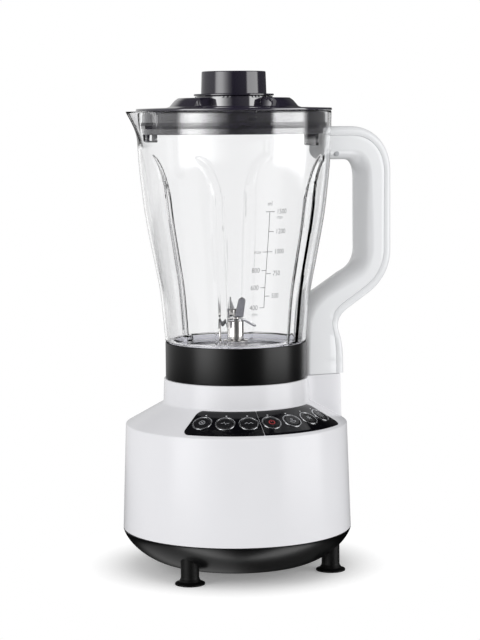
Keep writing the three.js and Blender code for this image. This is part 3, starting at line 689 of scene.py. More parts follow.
def make_jug():
    """The clear jug as one closed wall, from its underside over the rim to the stepped floor inside."""
    foot = 54.9
    steps = 130
    heights = [JUG_FOOT + (JUG_RIM - JUG_FOOT) * k / steps for k in range(steps + 1)]
    outer = [(jug_radius(h), h) for h in heights]
    inner = [(jug_radius(h) - WALL, h) for h in reversed(heights)]
    outer[-1] = (outer[-1][0] - 0.1, JUG_RIM - 0.7)
    inner[0] = (inner[0][0] + 0.1, JUG_RIM - 0.7)
    rim = [(81.6, JUG_RIM - 0.1), (80.65, JUG_RIM), (79.7, JUG_RIM - 0.1)]
    floor = [
        (55.6, 195.3), (53.8, 195.3), (52.5, 194.7), (51.9, 193.4), (51.4, 191.2), (50.4, 190.2),
        (48.6, JUG_FLOOR), (30, JUG_FLOOR), (9, JUG_FLOOR),
    ]
    under = [
        (9, JUG_BOTTOM), (30, JUG_BOTTOM), (foot, JUG_BOTTOM), (foot, COLLAR_TOP + 0.2),
        (foot + 0.5, COLLAR_TOP + 0.4), (58.6, COLLAR_TOP + 0.8), (59.6, COLLAR_TOP + 1.3),
    ]
    profile = under + outer + rim + inner + floor

    def warp(angle, radius, height):
        return (radius + jug_offset(angle, height), height) if radius > 35 else (radius, height)

    jug = revolved("jug_wall", profile, "jug", ["jug_body"], columns=360, warp=warp, sharp=40)
    paint(jug, clear_plastic)


def on_jug(x, height, lift):
    """A point on the jug's front: x millimetres round from the middle, `lift` out from the wall."""
    radius = jug_radius(height)
    return spot(math.degrees(x / radius), radius + lift, height)


def words(name, text, x, height, size, align):
    """Raised print on the jug, made from the built-in font's outlines."""
    letters = bpy.data.curves.new(name, "FONT")
    letters.body = text
    letters.size = size
    letters.extrude = PRINT_RAISED
    letters.offset = -PRINT_THINNED
    letters.align_x = align
    letters.align_y = "CENTER"
    letters.resolution_u = 3
    carrier = bpy.data.objects.new(name, letters)
    bpy.context.scene.collection.objects.link(carrier)
    graph = bpy.context.evaluated_depsgraph_get()
    mesh = bpy.data.meshes.new_from_object(carrier.evaluated_get(graph))
    bpy.data.objects.remove(carrier)
    for vertex in mesh.vertices:
        vertex.co = on_jug(x + PRINT_NARROWED * vertex.co.x, height + vertex.co.y, 0.05 + vertex.co.z)
    printed = bpy.data.objects.new(name, mesh)
    bpy.context.scene.collection.objects.link(printed)
    bind(printed, "jug")
    paint(printed, print_grey)


PRINT_RAISED = 0.03
PRINT_THINNED = 0.06
PRINT_NARROWED = 0.8
SCALE_TOP = 306.0
SCALE_LENGTH = 79.0
RIGHT_TICK, LEFT_TICK = 4.4, -4.0
RIGHT_TEXT, LEFT_TEXT = 6.2, -5.4
DIGIT_SIZE = 5.8
RIGHT_MARKS = {1500: 0.0, 1200: 16.3, 1000: 32.9, 750: 51.0, 500: 69.7}
LEFT_MARKS = {800: 48.2, 600: 62.5, 400: 79.2}


def make_scale():
    """The volume scale: each mark is the amount and how far it lies below the scale's top."""
    full = SCALE_TOP - RIGHT_MARKS[1000]
    lines = [[(0, SCALE_TOP - SCALE_LENGTH * k / 24) for k in range(25)]]
    lines.append([(-3.4, SCALE_TOP), (RIGHT_TICK, SCALE_TOP)])
    lower = list(RIGHT_MARKS.values())[1:]
    lines += [[(0, SCALE_TOP - drop), (RIGHT_TICK, SCALE_TOP - drop)] for drop in lower]
    lines += [[(LEFT_TICK, SCALE_TOP - drop), (0, SCALE_TOP - drop)] for drop in LEFT_MARKS.values()]
    lines.append([(LEFT_TICK, full), (0, full)])
    paint(strokes("scale_lines", lines, 0.45, 0.08, "jug", on_jug), print_grey)
    for amount, drop in RIGHT_MARKS.items():
        words(f"scale_{amount}", str(amount), RIGHT_TEXT, SCALE_TOP - drop, DIGIT_SIZE, "LEFT")
    for amount, drop in LEFT_MARKS.items():
        words(f"scale_{amount}", str(amount), LEFT_TEXT, SCALE_TOP - drop, DIGIT_SIZE, "RIGHT")
    words("scale_unit", "ml", 0.0, SCALE_TOP + 6.5, 5.4, "CENTER")
    words("scale_top", "max", 6.4, SCALE_TOP - 4.6, 4.2, "LEFT")
    words("scale_fill", "max", LEFT_TEXT, full, 4.4, "RIGHT")
    words("scale_least", "min", LEFT_TEXT, SCALE_TOP - LEFT_MARKS[400] - 5.4, 4.4, "RIGHT")


# ---- collar, handle ----
def make_collar():
    """The black collar: a wide band, a deck under the jug, and a spigot that drops into the base."""
    deck_high = COLLAR_TOP - 8.2
    deck_low = deck_high - 4
    skirt_foot = COLLAR_TOP - 30.4
    profile = rounded(
        [
            (54.8, SPIGOT_BOTTOM), (57.6, SPIGOT_BOTTOM), (57.6, skirt_foot), (COLLAR_RADIUS, skirt_foot),
            (COLLAR_RADIUS, COLLAR_TOP), (COLLAR_RADIUS - 2.5, COLLAR_TOP), (COLLAR_RADIUS - 2.8, deck_high),
            (16, deck_high), (16, deck_low), (54.8, deck_low),
        ],
        [0.6, 0.6, 0.2, 0.5, 0.6, 0.3, 0.5, 0.5, 0.5, 1.0],
        closed=True,
    )

    def warp(angle, radius, height):
        """Twelve grooves round the spigot leave twelve ribs between them."""
        if height < skirt_foot - 0.5 and radius > 56:
            return radius - 0.9 * (1 - ease(away((angle * 12) % 360, 0.0), 40, 60)), height
        return radius, height

    collar = revolved("collar", profile, "jug", ["jug_collar"], columns=288, warp=warp)
    paint(collar, black_shell)


def bezier(a, b, c, d, steps):
    """Points along a cubic curve, without its last one."""
    a, b, c, d = (Vector(p) for p in (a, b, c, d))
    points = []
    for k in range(steps):
        t = k / steps
        points.append(a * (1 - t) ** 3 + b * 3 * t * (1 - t) ** 2 + c * 3 * t * t * (1 - t) + d * t ** 3)
    return points


def handle_line(knots):
    """One lengthwise line of the handle, arm to foot: seven stretches, a pair of points for each straight one
    and four for each curved one, sampled alike so that the lines' points pair up across the handle."""
    points = []
    for knot in knots:
        if len(knot) == 2:
            a, b = Vector(knot[0]), Vector(knot[1])
            points += [a.lerp(b, k / 10) for k in range(10)]
        else:
            points += bezier(*knot, 14)
    points.append(Vector(knots[-1][-1]))
    return points


HANDLE_EDGE = handle_line([
    [(80, HANDLE_TOP), (103, HANDLE_TOP)],
    [(103, HANDLE_TOP), (124, HANDLE_TOP - 1), (138, 358), (HANDLE_REACH, 337)],
    [(HANDLE_REACH, 337), (HANDLE_REACH, 268)],
    [(HANDLE_REACH, 268), (HANDLE_REACH, 251), (130, 239), (118.3, 230.8)],
    [(118.3, 230.8), (99, 218.6)],
    [(99, 218.6), (87, 211), (87.4, 203), (91.2, 194)],
    [(91.2, 194), (93.4, 187), (93.8, 177), (93.8, HANDLE_FOOT)],
])
HANDLE_SIDE = handle_line([
    [(78, 353.4), (99.7, 353.3)],
    [(99.7, 353.3), (114.5, 353), (119.6, 345), (120.5, 326)],
    [(120.5, 326), (121, 267.7)],
    [(121, 267.7), (119.5, 256), (115, 248), (106.4, 243.9)],
    [(106.4, 243.9), (82.4, 231.2)],
    [(82.4, 231.2), (74, 226.5), (63, 217), (61.4, 204)],
    [(61.4, 204), (60.4, 192), (60.2, 178), (60.2, HANDLE_FOOT)],
])
HANDLE_RIDGE = handle_line([
    [(80, 345.8), (101, 345.6)],
    [(101, 345.6), (110, 345.4), (113, 341), (113, 332)],
    [(113, 332), (113.6, 268)],
    [(113.6, 268), (113, 257), (107, 252), (96, 246.2)],
    [(96, 246.2), (78, 236)],
    [(78, 236), (69, 230.8), (60, 224), (58, 210)],
    [(58, 210), (57, 200), (57, 180), (57, HANDLE_FOOT)],
])
STRIP_DEPTH = 7.5
FOOT_LINE = (HANDLE_FOOT + 7.8, HANDLE_FOOT + 9.4)


def wall_clear(radius, y, height):
    """Pushes a handle point out of the jug's wall and the collar."""
    wall = jug_radius(height) if height >= JUG_FOOT else COLLAR_RADIUS
    least = wall + 0.35
    if math.hypot(radius, y) < least:
        radius = math.sqrt(max(least ** 2 - y ** 2, 0.0))
    return radius


def strip_loop(_station):
    """The spine's cross-section, the same all along: (distance inward from the edge, y)."""
    corner, half, deep = 4.2, HANDLE_HALF, STRIP_DEPTH - 0.1
    round_side = [
        (corner - corner * math.sin(a), half - corner + corner * math.cos(a))
        for a in (math.pi / 2 * (1 - k / 8) for k in range(9))
    ]
    right = round_side + [(deep - 0.55, half), (deep - 0.12, half - 0.3), (deep, half - 0.8)]
    outer = [(0, -(half - corner) + 2 * (half - corner) * k / 8) for k in range(1, 8)]
    inner = [(deep, (half - 0.8) - 2 * (half - 0.8) * k / 8) for k in range(1, 8)]
    left = [(u, -y) for u, y in reversed(right)]
    return outer + right + inner + left


def grip_loop(station):
    """The grip's cross-section: flat sides that run into an elliptic inner face."""
    half, start = HANDLE_HALF, STRIP_DEPTH + 0.1
    edge, side, ridge = HANDLE_EDGE[station], HANDLE_SIDE[station], HANDLE_RIDGE[station]
    side_depth = max((side - edge).length, start + 3)
    ridge_depth = max((ridge - edge).length, side_depth + 1)
    right = [(start, half - 0.8), (start + 0.12, half - 0.3), (start + 0.55, half)]
    right += [(start + 0.55 + (side_depth - 2.2 - start) * k / 4, half) for k in range(1, 5)]
    turn = []
    for k in range(25):
        a = math.pi * k / 24
        bulge = math.sin(a) ** 0.9
        turn.append((side_depth - 1.2 + (ridge_depth - side_depth + 1.2) * bulge, half * math.cos(a)))
    outer = [(start, -(half - 0.8) + 2 * (half - 0.8) * k / 8) for k in range(1, 8)]
    left = [(u, -y) for u, y in reversed(right)]
    return outer + right + turn + left


def handle_part(name, section, node_name):
    """Sweeps a cross-section along the handle, square to its lines, with a fine groove near the foot."""
    rings = []
    for i, (edge, side, ridge) in enumerate(zip(HANDLE_EDGE, HANDLE_SIDE, HANDLE_RIDGE)):
        inward = (side.lerp(ridge, 0.35) - edge).normalized()
        ring = []
        for depth, y in section(i):
            p = edge + inward * depth
            h = max(p.y, HANDLE_FOOT)
            squeeze = 0.45 if FOOT_LINE[0] < h < FOOT_LINE[1] else 0.0
            y -= math.copysign(squeeze, y) if abs(y) > HANDLE_HALF - 1 else 0.0
            ring.append((wall_clear(p.x, y, h), y, h))
        rings.append(ring)
    count = len(rings[0])
    points = [p for ring in rings for p in ring]
    faces = grid_faces(len(rings), count, False, True)
    for ring_index in (0, len(rings) - 1):
        add_cap(points, faces, rings[ring_index], ring_index * count)
    vertices = [((AXIS_X + r) * MM, y * MM, h * MM) for r, y, h in points]
    # the handle's material emits a little light: painted light in its shade
    paint(finish_mesh(name, vertices, faces, "jug", [node_name], sharp=38), grip_white_painted_light)


def add_cap(points, faces, ring, first):
    """Closes one end with rows between the mirrored halves of the ring, laid on the jug or collar."""
    count = len(ring)
    steps = 8
    rows = []
    for i in (i for i in range(count) if ring[i][1] > 1e-6):
        mirrored = (ring[i][0], -ring[i][1], ring[i][2])
        partner = min(range(count), key=lambda j: sum(abs(p - q) for p, q in zip(ring[j], mirrored)))
        a, b = ring[i], ring[partner]
        row = [first + i]
        for k in range(1, steps):
            t = k / steps
            r, y, h = (a[n] + (b[n] - a[n]) * t for n in range(3))
            points.append((wall_clear(r, y, h), y, h))
            row.append(len(points) - 1)
        row.append(first + partner)
        rows.append(row)
    for low, high in zip(rows, rows[1:]):
        for k in range(steps):
            faces.append((low[k], low[k + 1], high[k + 1], high[k]))


def make_handle():
    handle_part("handle_strip", strip_loop, "handle_spine")
    handle_part("handle_shell", grip_loop, "handle_grip")


# ---- lid and cap ----
WINDOW_MIDDLE = -18.0
WINDOW_HALF_ANGLE = 40.0
LOCATOR_ANGLE = -10.8
LOCATOR_HALF_ANGLE = 2.3
RIB_ANGLES = (-158, -118, -38, -32, -26, 8, 14, 20, 36, 76, 122, 162)
LID_RIB_HALF_ANGLE = 1.6
BLOCK_EDGE = 0.22


def make_lid():
    """The smoked lid: a ring round the cap's opening, a flange on the jug's rim and a plug inside it."""
    plateau = LID_TOP - 1.5
    rim_top = LID_TOP - 10.2
    rim_low = rim_top - 1.9
    window_top = rim_top + 1.6
    skirt = 77.2
    foot = 368.3
    profile = rounded(
        [
            (24.3, 372), (24.3, LID_TOP), (32, LID_TOP), (32, plateau - 0.1), (47, plateau),
            (50, plateau - 2.2), (54.2, rim_top + 1.6), (57, rim_top + 0.7), (LID_RADIUS - 0.5, rim_top),
            (LID_RADIUS, rim_low), (skirt, rim_low), (skirt, foot), (skirt - 2.4, foot),
            (skirt - 2.4, rim_low - 1.4), (54, rim_low - 1), (49, plateau - 3.6), (26.3, plateau - 3.6),
            (26.3, 372),
        ],
        [0.3, 1.0, 0.7, 0.6, 1.6, 2.2, 2.0, 3.0, 0.7, 0.5, 0.4, 0.4, 0.3, 1.2, 1.5, 1.5, 1.0, 0.3],
        closed=True,
    )

    def warp(angle, radius, height):
        """The raised ring is cut away in one sector, down to the level of the outer face."""
        opened = 1 - ease(away(angle, WINDOW_MIDDLE), WINDOW_HALF_ANGLE - 0.8, WINDOW_HALF_ANGLE + 0.8)
        on_top = plateau - 3.4 < height < plateau + 0.62 and 31.9 < radius < 56
        beneath = rim_top < height <= plateau - 3.4 and radius < 50.5
        if on_top or (50.5 <= radius < 56 and height > window_top):
            return radius, height - opened * max(0.0, height - window_top)
        if beneath:
            return radius, height - opened * max(0.0, height - window_top + 2.7)
        return radius, height

    lid = revolved("lid_shell", profile, "lid", ["lid"], columns=288, warp=warp)
    paint(lid, smoke)
    for index, angle in enumerate(RIB_ANGLES):
        start, end = angle - LID_RIB_HALF_ANGLE, angle + LID_RIB_HALF_ANGLE
        lid_block(f"lid_rib_{index}", start, end, 32.02, 32.95, plateau + 0.02, LID_TOP - 0.1)
    start, end = LOCATOR_ANGLE - LOCATOR_HALF_ANGLE, LOCATOR_ANGLE + LOCATOR_HALF_ANGLE
    lid_block("lid_locator", start, end, skirt + 0.02, skirt + 1.15, rim_low - 8.5, rim_low - 0.02)


def lid_block(name, start, end, inner, outer, low, high):
    """A block on the lid, bent round the axis between two angles, two radii and two heights."""
    steps = max(3, int(abs(end - start) / 2) + 2)
    vertices = []
    for k in range(steps + 1):
        angle = start + (end - start) * k / steps
        corners = ((inner, low), (outer, low), (outer, high), (inner, high))
        vertices += [spot(angle, radius, height) for radius, height in corners]
    faces = grid_faces(steps + 1, 4, False, True)
    last = 4 * steps
    faces += [(0, 1, 2, 3), (last, last + 1, last + 2, last + 3)]
    block = finish_mesh(name, vertices, faces, None)
    smooth(eased_edges(block, BLOCK_EDGE, 40))
    bind(block, "lid")
    paint(block, smoke)


def make_lid_tabs():
    """The strainer with two slots behind the spout, and the ribbed tab on the handle's side."""
    foot = 368.28
    strainer_low = LID_BOTTOM + 4.3
    lid_block("strainer_sill", -103, -77, 75.0, 77.0, strainer_low, strainer_low + 1.2)
    for index, (start, width) in enumerate(((-103, 5.0), (-91.5, 3.0), (-82.0, 5.0))):
        lid_block(f"strainer_bar_{index}", start, start + width, 75.0, 77.05, strainer_low, foot)
    lid_block("tab_back", 80, 100, 71.6, 73.0, LID_BOTTOM + 0.4, foot)
    for index in range(4):
        start = 80.3 + index * 5.4
        lid_block(f"tab_rib_{index}", start, start + 3.2, 72.2, 74.4, LID_BOTTOM, foot)
    lid_block("tab_shelf", 80, 100, 71.6, 75.4, foot - 0.6, foot)


def make_cap():
    """The measuring cap: a cup with its open end down, and a flange that rests on the lid."""
    flange_low = LID_TOP + 0.3
    flange_top = flange_low + 1.5
    profile = rounded(
        [
            (0, CAP_TOP - 2.4), (24.6, CAP_TOP - 2.4), (25.0, flange_top + 0.6), (21.7, flange_low - 3),
            (21.7, CAP_BOTTOM), (23.7, CAP_BOTTOM), (23.7, flange_low), (CAP_FLANGE, flange_low),
            (CAP_FLANGE, flange_top), (27.5, flange_top), (26.85, CAP_TOP), (0, CAP_TOP),
        ],
        [0, 1.0, 0.8, 0.8, 0.4, 0.4, 0.3, 0.4, 0.4, 0.5, 0.9, 0],
    )
    cap = revolved("cap_shell", profile, "cap", ["measuring_cap"], closed=False, columns=192)
    paint(cap, smoke_cap)


# ---- blades ----
def blade_pair(name, height, heading, lean, length, node_name, pointed):
    """A pressed strip with a round middle and two arms bent up or down, thinned to an edge on both sides."""
    disc, thick, waist = 6.2, 1.4, 8.0
    arm = 5.8 + length
    bend = math.radians(lean)
    steps, across = 44, 9
    stations = [-arm + 2 * arm * k / (2 * steps) for k in range(2 * steps + 1)]
    top, bottom = [], []
    for s in stations:
        reach = abs(s)
        out = max(0.0, reach - 5.8)
        turn = min(out / 3.0, 1.0) * bend
        run = min(out, 3.0)
        x = min(reach, 5.8) + run * math.cos(turn / 2) + max(0.0, out - 3.0) * math.cos(bend)
        z = run * math.sin(turn / 2) + max(0.0, out - 3.0) * math.sin(bend)
        width = waist - 1.8 * (out / length) if out > 0 else waist
        if reach < disc:
            width = max(width, 2 * math.sqrt(max(0.0, disc ** 2 - s ** 2)))
        tip = arm - reach
        if pointed and s < 0:
            width = 0.9 + (waist - 0.9) * min(1.0, tip / (length * 0.8))
        elif tip < 3.0:
            width *= math.sqrt(max(0.02, 1 - (1 - tip / 3.0) ** 2))
        side = 1 if s >= 0 else -1
        normal = Vector((-math.sin(turn), 0, math.cos(turn)))
        row_top, row_bottom = [], []
        for k in range(across):
            t = -1 + 2 * k / (across - 1)
            ground = ease(t, 0.45, 1.0) * min(1.0, out / 4.0)
            half = thick / 2 * (1 - 0.86 * ground) * (0.75 if k in (0, across - 1) else 1.0)
            y = t * width / 2
            for row, sign in ((row_top, 1), (row_bottom, -1)):
                p = Vector((x, y, z)) + normal * half * sign
                row.append((p.x * side, p.y * side, p.z))
        if side < 0:
            row_top.reverse()
            row_bottom.reverse()
        top.append(row_top)
        bottom.append(row_bottom)
    points = []
    turn_z = math.radians(heading)
    for row_top, row_bottom in zip(top, bottom):
        for px, py, pz in row_top + row_bottom[::-1]:
            x = px * math.sin(turn_z) + py * math.cos(turn_z)
            y = -px * math.cos(turn_z) + py * math.sin(turn_z)
            points.append(((AXIS_X + x) * MM, y * MM, (height + pz) * MM))
    ring = 2 * across
    faces = grid_faces(len(stations), ring, False, True)
    for first in (0, (len(stations) - 1) * ring):
        for k in range(across - 1):
            faces.append((first + k, first + k + 1, first + ring - 2 - k, first + ring - 1 - k))
    paint(finish_mesh(name, points, faces, "blades", [node_name], sharp=30), blade_steel)


def make_blades():
    """Two crossed blade pairs, the bearing they turn in and the nut on top."""
    blade_pair("blade_low", 211.7, 106, -28, 17, "blade_low_pair", pointed=False)
    blade_pair("blade_tall", 214.2, 1, 66, 20, "blade_tall_pair", pointed=True)
    low, high = low_high("blade_hub")
    profile = rounded(
        [
            (3.3, low.z), (8.2, low.z), (8.2, 190.3), (10.4, 190.3), (10.4, 194), (6.9, 195.2), (6.9, high.z),
            (5.9, high.z), (3.3, high.z),
        ],
        [0.2, 0.5, 0.2, 0.4, 0.9, 0.9, 0.7, 0.1, 0.2],
        closed=True,
    )
    hub = turned_at("blade_bearing", profile, (0, 0, 0), "jug", ["blade_hub"], columns=96)
    paint(hub, turned_steel)
    make_cap_nut()


def make_cap_nut():
    """A hexagon nut with a chamfered crown."""
    low, high = low_high("blade_cap_nut")
    across = (high.y - low.y) / 2
    rows = [
        (3.1, low.z), (across * 0.96, low.z), (across, low.z + 0.3), (across, low.z + 3.4),
        (across * 0.9, low.z + 4.2), (across * 0.62, high.z - 0.3), (across * 0.4, high.z), (0, high.z),
    ]
    columns = 72
    vertices = []
    for radius, height in rows + [(0, low.z + 3.0), (3.1, low.z + 3.0)]:
        for j in range(columns):
            a = 2 * math.pi * j / columns
            flat = math.cos(math.pi / 6) / math.cos((a % (math.pi / 3)) - math.pi / 6)
            hexed = radius * (flat if height < low.z + 3.5 and radius > 3.5 else 1.0)
            vertices.append(((AXIS_X + hexed * math.cos(a)) * MM, hexed * math.sin(a) * MM, height * MM))
    faces = grid_faces(len(rows) + 2, columns, True, True)
    nut = finish_mesh("crown_nut", vertices, faces, "blades", ["blade_cap_nut"], sharp=28)
    paint(nut, turned_steel)


def make_gland():
    """The bush where the mains cord would leave the base."""
    low, high = low_high("cable_gland")
    centre = ((low.x + high.x) / 2 - AXIS_X, low.y, (low.z + high.z) / 2)
    radius, length = (high.x - low.x) / 2, high.y - low.y
    profile = rounded(
        [(3.2, 0), (radius, 0), (radius, length - 3), (radius - 1.2, length - 0.6), (3.2, length - 0.6)],
        [0.3, 0.3, 0.6, 0.8, 0.5],
        closed=True,
    )
    turn = Matrix.Rotation(-math.pi / 2, 4, "X")
    gland = turned_at("cord_bush", profile, centre, "base", ["cable_gland"], 64, turn)
    paint(gland, foot_black)


# ---- the CAD nodes that stay: screws, seals and everything inside ----
CARRIED = (
    (turned_steel, ("motor_shaft", "blade_shaft", "upper_bearing", "lower_bearing", "blade_nut")),
    (print_pale, ("handle_screw_upper", "handle_screw_lower")),
    (iron, ("motor_stator", "motor_armature", "upper_frame", "lower_frame")),
    (copper, ("field_coil_left", "field_coil_right", "commutator")),
    (board_green, ("control_board",)),
    (nylon, ("motor_fan", "drive_coupling", "interlock_pin")),
    (black_shell, ("interlock_switch", "jug_coupling")),
    (carbon, ("brush_left", "brush_right")),
    (foot_black, ("motor_mount_left", "motor_mount_right", "blade_gasket")),
    (smoke, ("lid_gasket",)),
    # the seal's material emits light: painted light under the jug
    (silicone_painted_light, ("jug_seal",)),
)


def finish_carried():
    """Paints the CAD nodes that nothing here takes the place of."""
    for look, names in CARRIED:
        for name in names:
            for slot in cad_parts[name].material_slots:
                slot.material = look


# ---- floor, light and camera ----
VIEW_AZIMUTH = -21.8
VIEW_DISTANCE = 1.6575
VIEW_HEIGHT = 0.381
VIEW_TILT = 5.861
VIEW_YAW = 0.13
VIEW_ROLL = 0.45
LENS = 110.25
FLOOR_RADIUS = 0.5
PANEL_PEAK = 4.6
PANELS = (
    (-180, 0.10), (-150, 0.13), (-110, 0.12), (-72, 0.12), (-64, 0.80), (-53, 1.0), (-41, 0.88), (-29, 0.46),
    (-17, 0.16), (-5, 0.02), (0, 0.01), (46, 0.04), (51, 0.75), (92, 0.75), (98, 0.03), (180, 0.01),
)


def make_floor():
    """A white disc that emits light as white as the backdrop round it; its emission is turned down under the
    base, a painted shadow on top of the real one.
    """
    middle = (AXIS_X * MM, 0, 0)
    bpy.ops.mesh.primitive_circle_add(vertices=128, radius=FLOOR_RADIUS, fill_type="NGON", location=middle)
    floor = bpy.context.object
    floor.name = "floor"
    made = surface("floor_white", (0.88, 0.88, 0.88), 0.6, tint=0.0, uneven=0.05, grain=40, bump=0.0)
    tree = made.node_tree
    shader = tree.nodes["Principled BSDF"]
    shader.inputs["Specular IOR Level"].default_value = 0.0
    shader.inputs["Emission Color"].default_value = (1, 1, 1, 1)
    place = node(tree, "ShaderNodeTexCoord")
    reach = node(tree, "ShaderNodeVectorMath", operation="LENGTH")
    tree.links.new(place.outputs["Object"], reach.inputs[0])
    # The floor's emission is turned down under and round the base: a painted shadow added to the real cast
    # shadow. Further out it is even, as white as the backdrop.
    emission_dimmed_as_painted_shadow = level_of(tree, reach.outputs["Value"], 0.08, 0.165, 0.20, 1.0)
    tree.links.new(emission_dimmed_as_painted_shadow, shader.inputs["Emission Strength"])
    white = level_of(tree, reach.outputs["Value"], 0.08, 0.18, 0.88, 0.0)
    tree.links.new(white, shader.inputs["Base Color"])
    paint(floor, made)
    floor.visible_glossy = False


def softbox(name, azimuth, distance, height, width, tall, radiance):
    """A rectangular light standing round the object at an azimuth measured like the camera's; it lights matt
    surfaces only, because the world's panels make the highlights."""
    light = bpy.data.lights.new(name, "AREA")
    light.shape = "RECTANGLE"
    light.size = width
    light.size_y = tall
    light.energy = radiance * math.pi * width * tall
    lamp = bpy.data.objects.new(name, light)
    a = math.radians(azimuth)
    lamp.location = (AXIS_X * MM + distance * math.sin(a), -distance * math.cos(a), height)
    lamp.rotation_euler = (Vector((AXIS_X * MM, 0, 0.2)) - lamp.location).to_track_quat("-Z", "Y").to_euler()
    lamp.visible_camera = False
    lamp.visible_transmission = False
    lamp.visible_glossy = False
    bpy.context.scene.collection.objects.link(lamp)


def make_lights():
    softbox("key_left", VIEW_AZIMUTH - 60, 1.5, 0.75, 0.8, 1.2, 1.55)
    softbox("key_right", VIEW_AZIMUTH + 76, 1.6, 0.75, 0.8, 1.1, 1.45)
    softbox("key_top", VIEW_AZIMUTH + 5, 0.6, 1.7, 1.4, 1.4, 0.45)


def make_world():
    """The studio: a white backdrop, soft fill, and two tall panels that show only in glossy surfaces."""
    world = bpy.data.worlds.new("studio")
    bpy.context.scene.world = world
    world.use_nodes = True
    tree = world.node_tree
    sky = tree.nodes["Background"]
    a = math.radians(VIEW_AZIMUTH)
    toward = along_axis(tree, (math.sin(a), -math.cos(a), 0))
    right = along_axis(tree, (math.cos(a), math.sin(a), 0))
    up = along_axis(tree, (0, 0, 1))
    panels = math_of(tree, "MULTIPLY", panel_ramp(tree, toward, right), PANEL_PEAK)
    high = band_of(tree, up, (-0.19, -0.13), (0.30, 0.55), 0.12)
    low = level_of(tree, up, -0.62, -0.50, 1.0, 0.0)
    glossy = math_of(tree, "MULTIPLY", panels, math_of(tree, "ADD", high, low))
    path = node(tree, "ShaderNodeLightPath")
    # whether a ray has crossed the whole jug, or only its near wall to the lid and back
    beyond = math_of(tree, "GREATER_THAN", path.outputs["Transmission Depth"], 4.5)
    near_band = band_of(tree, up, (-0.19, -0.15), (-0.008, 0.006), 0.3)
    far_band = band_of(tree, up, (-0.19, -0.15), (-0.055, -0.02), 0.0)
    near_backdrop = level_of(tree, toward, -0.97, -0.84, 0.95, 0.06)
    far_backdrop = level_of(tree, toward, -0.95, -0.2, 0.95, 0.45)
    in_panels = math_of(tree, "MULTIPLY", panels, chosen(tree, beyond, near_band, far_band))
    in_glass = math_of(tree, "ADD", in_panels, chosen(tree, beyond, near_backdrop, far_backdrop))
    through = level_of(tree, math_of(tree, "ABSOLUTE", toward), 0.10, 0.60, 0.86, 1.0)
    passed_on = math_of(tree, "MULTIPLY", path.outputs["Glossy Depth"], path.outputs["Is Transmission Ray"])
    strength = 1.0
    for test, value in (
        (path.outputs["Is Diffuse Ray"], level_of(tree, up, 0.0, 0.8, 0.95, 0.6)),
        (path.outputs["Is Glossy Ray"], glossy),
        (path.outputs["Is Transmission Ray"], through),
        (math_of(tree, "MINIMUM", passed_on, 1.0), in_glass),
    ):
        strength = chosen(tree, test, strength, value)
    tree.links.new(strength, sky.inputs["Strength"])
    sky.inputs["Color"].default_value = (1, 1, 1, 1)


def panel_ramp(tree, toward, right):
    """The panels' brightness by azimuth, measured from the camera's own."""
    azimuth = math_of(tree, "ARCTAN2", right, toward)
    ramp = node(tree, "ShaderNodeValToRGB")
    points = ramp.color_ramp.elements
    for at, level in PANELS[1:-1]:
        points.new((at + 180) / 360)
    for point, (at, level) in zip(points, PANELS):
        point.position = (at + 180) / 360
        point.color = (level, level, level, 1)
    turn = node(tree, "ShaderNodeMapRange")
    turn.inputs["From Min"].default_value = -math.pi
    turn.inputs["From Max"].default_value = math.pi
    tree.links.new(azimuth, turn.inputs["Value"])
    tree.links.new(turn.outputs["Result"], ramp.inputs["Fac"])
    return ramp.outputs["Color"]


def along_axis(tree, axis):
    """How far a ray's direction points along an axis, -1 to 1."""
    place = node(tree, "ShaderNodeTexCoord")
    product = node(tree, "ShaderNodeVectorMath", operation="DOT_PRODUCT")
    product.inputs[1].default_value = axis
    tree.links.new(place.outputs["Generated"], product.inputs[0])
    return product.outputs["Value"]


def math_of(tree, operation, *terms):
    """One arithmetic node over numbers or other nodes' outputs."""
    made = node(tree, "ShaderNodeMath", operation=operation)
    for socket, term in zip(made.inputs, terms):
        plug(tree, term, socket)
    return made.outputs["Value"]


def plug(tree, term, socket):
    """Sets a socket to a number, or links another node's output to it."""
    if isinstance(term, float):
        socket.default_value = term
    else:
        tree.links.new(term, socket)


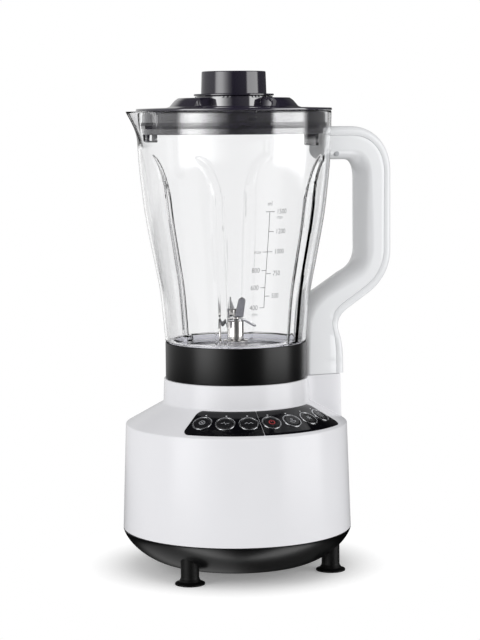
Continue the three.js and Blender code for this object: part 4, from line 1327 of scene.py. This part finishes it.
def level_of(tree, source, low, high, at_low, at_high):
    """A smooth step from `at_low` to `at_high` as the source goes from `low` to `high`."""
    level = node(tree, "ShaderNodeMapRange")
    level.interpolation_type = "SMOOTHSTEP"
    level.inputs["From Min"].default_value = low
    level.inputs["From Max"].default_value = high
    level.inputs["To Min"].default_value = at_low
    level.inputs["To Max"].default_value = at_high
    tree.links.new(source, level.inputs["Value"])
    return level.outputs["Result"]


def band_of(tree, source, rise, fall, after):
    """A band of levels: up to 1 over the first span, then down to `after` over the second."""
    rising = level_of(tree, source, *rise, 0.0, 1.0)
    return math_of(tree, "MULTIPLY", rising, level_of(tree, source, *fall, 1.0, after))


def chosen(tree, test, otherwise, value):
    """`value` where the ray passes the test, and `otherwise` where it doesn't."""
    pick = node(tree, "ShaderNodeMix")
    tree.links.new(test, pick.inputs[0])
    plug(tree, otherwise, pick.inputs[2])
    plug(tree, value, pick.inputs[3])
    return pick.outputs[0]


def make_camera():
    camera = bpy.data.cameras.new("view")
    camera.lens = LENS
    camera.sensor_width = 36.0
    camera.clip_end = 50
    eye = bpy.data.objects.new("view", camera)
    a = math.radians(VIEW_AZIMUTH)
    place = Vector((AXIS_X * MM + VIEW_DISTANCE * math.sin(a), -VIEW_DISTANCE * math.cos(a), VIEW_HEIGHT))
    turn = (
        Matrix.Rotation(math.radians(VIEW_AZIMUTH - VIEW_YAW), 4, "Z")
        @ Matrix.Rotation(math.radians(90 - VIEW_TILT), 4, "X")
        @ Matrix.Rotation(math.radians(-VIEW_ROLL), 4, "Z")
    )
    eye.matrix_world = Matrix.Translation(place) @ turn
    bpy.context.scene.collection.objects.link(eye)
    bpy.context.scene.camera = eye


make_camera()
make_floor()
make_lights()
make_world()
make_housing()
make_panel("panel_plate_left", -51, -7.3, 5.5, 0.8, "panel_left")
make_panel("panel_plate_right", -7.0, 50.4, 0.8, 5.5, "panel_right")
for number, angle in enumerate(BUTTON_ANGLES, 1):
    make_button(number, angle)
make_icons()
make_skirt()
make_feet()
make_gland()
make_jug()
make_scale()
make_collar()
make_handle()
make_lid()
make_lid_tabs()
make_cap()
make_blades()
finish_carried()
bpy.context.scene.view_settings.view_transform = "Standard"
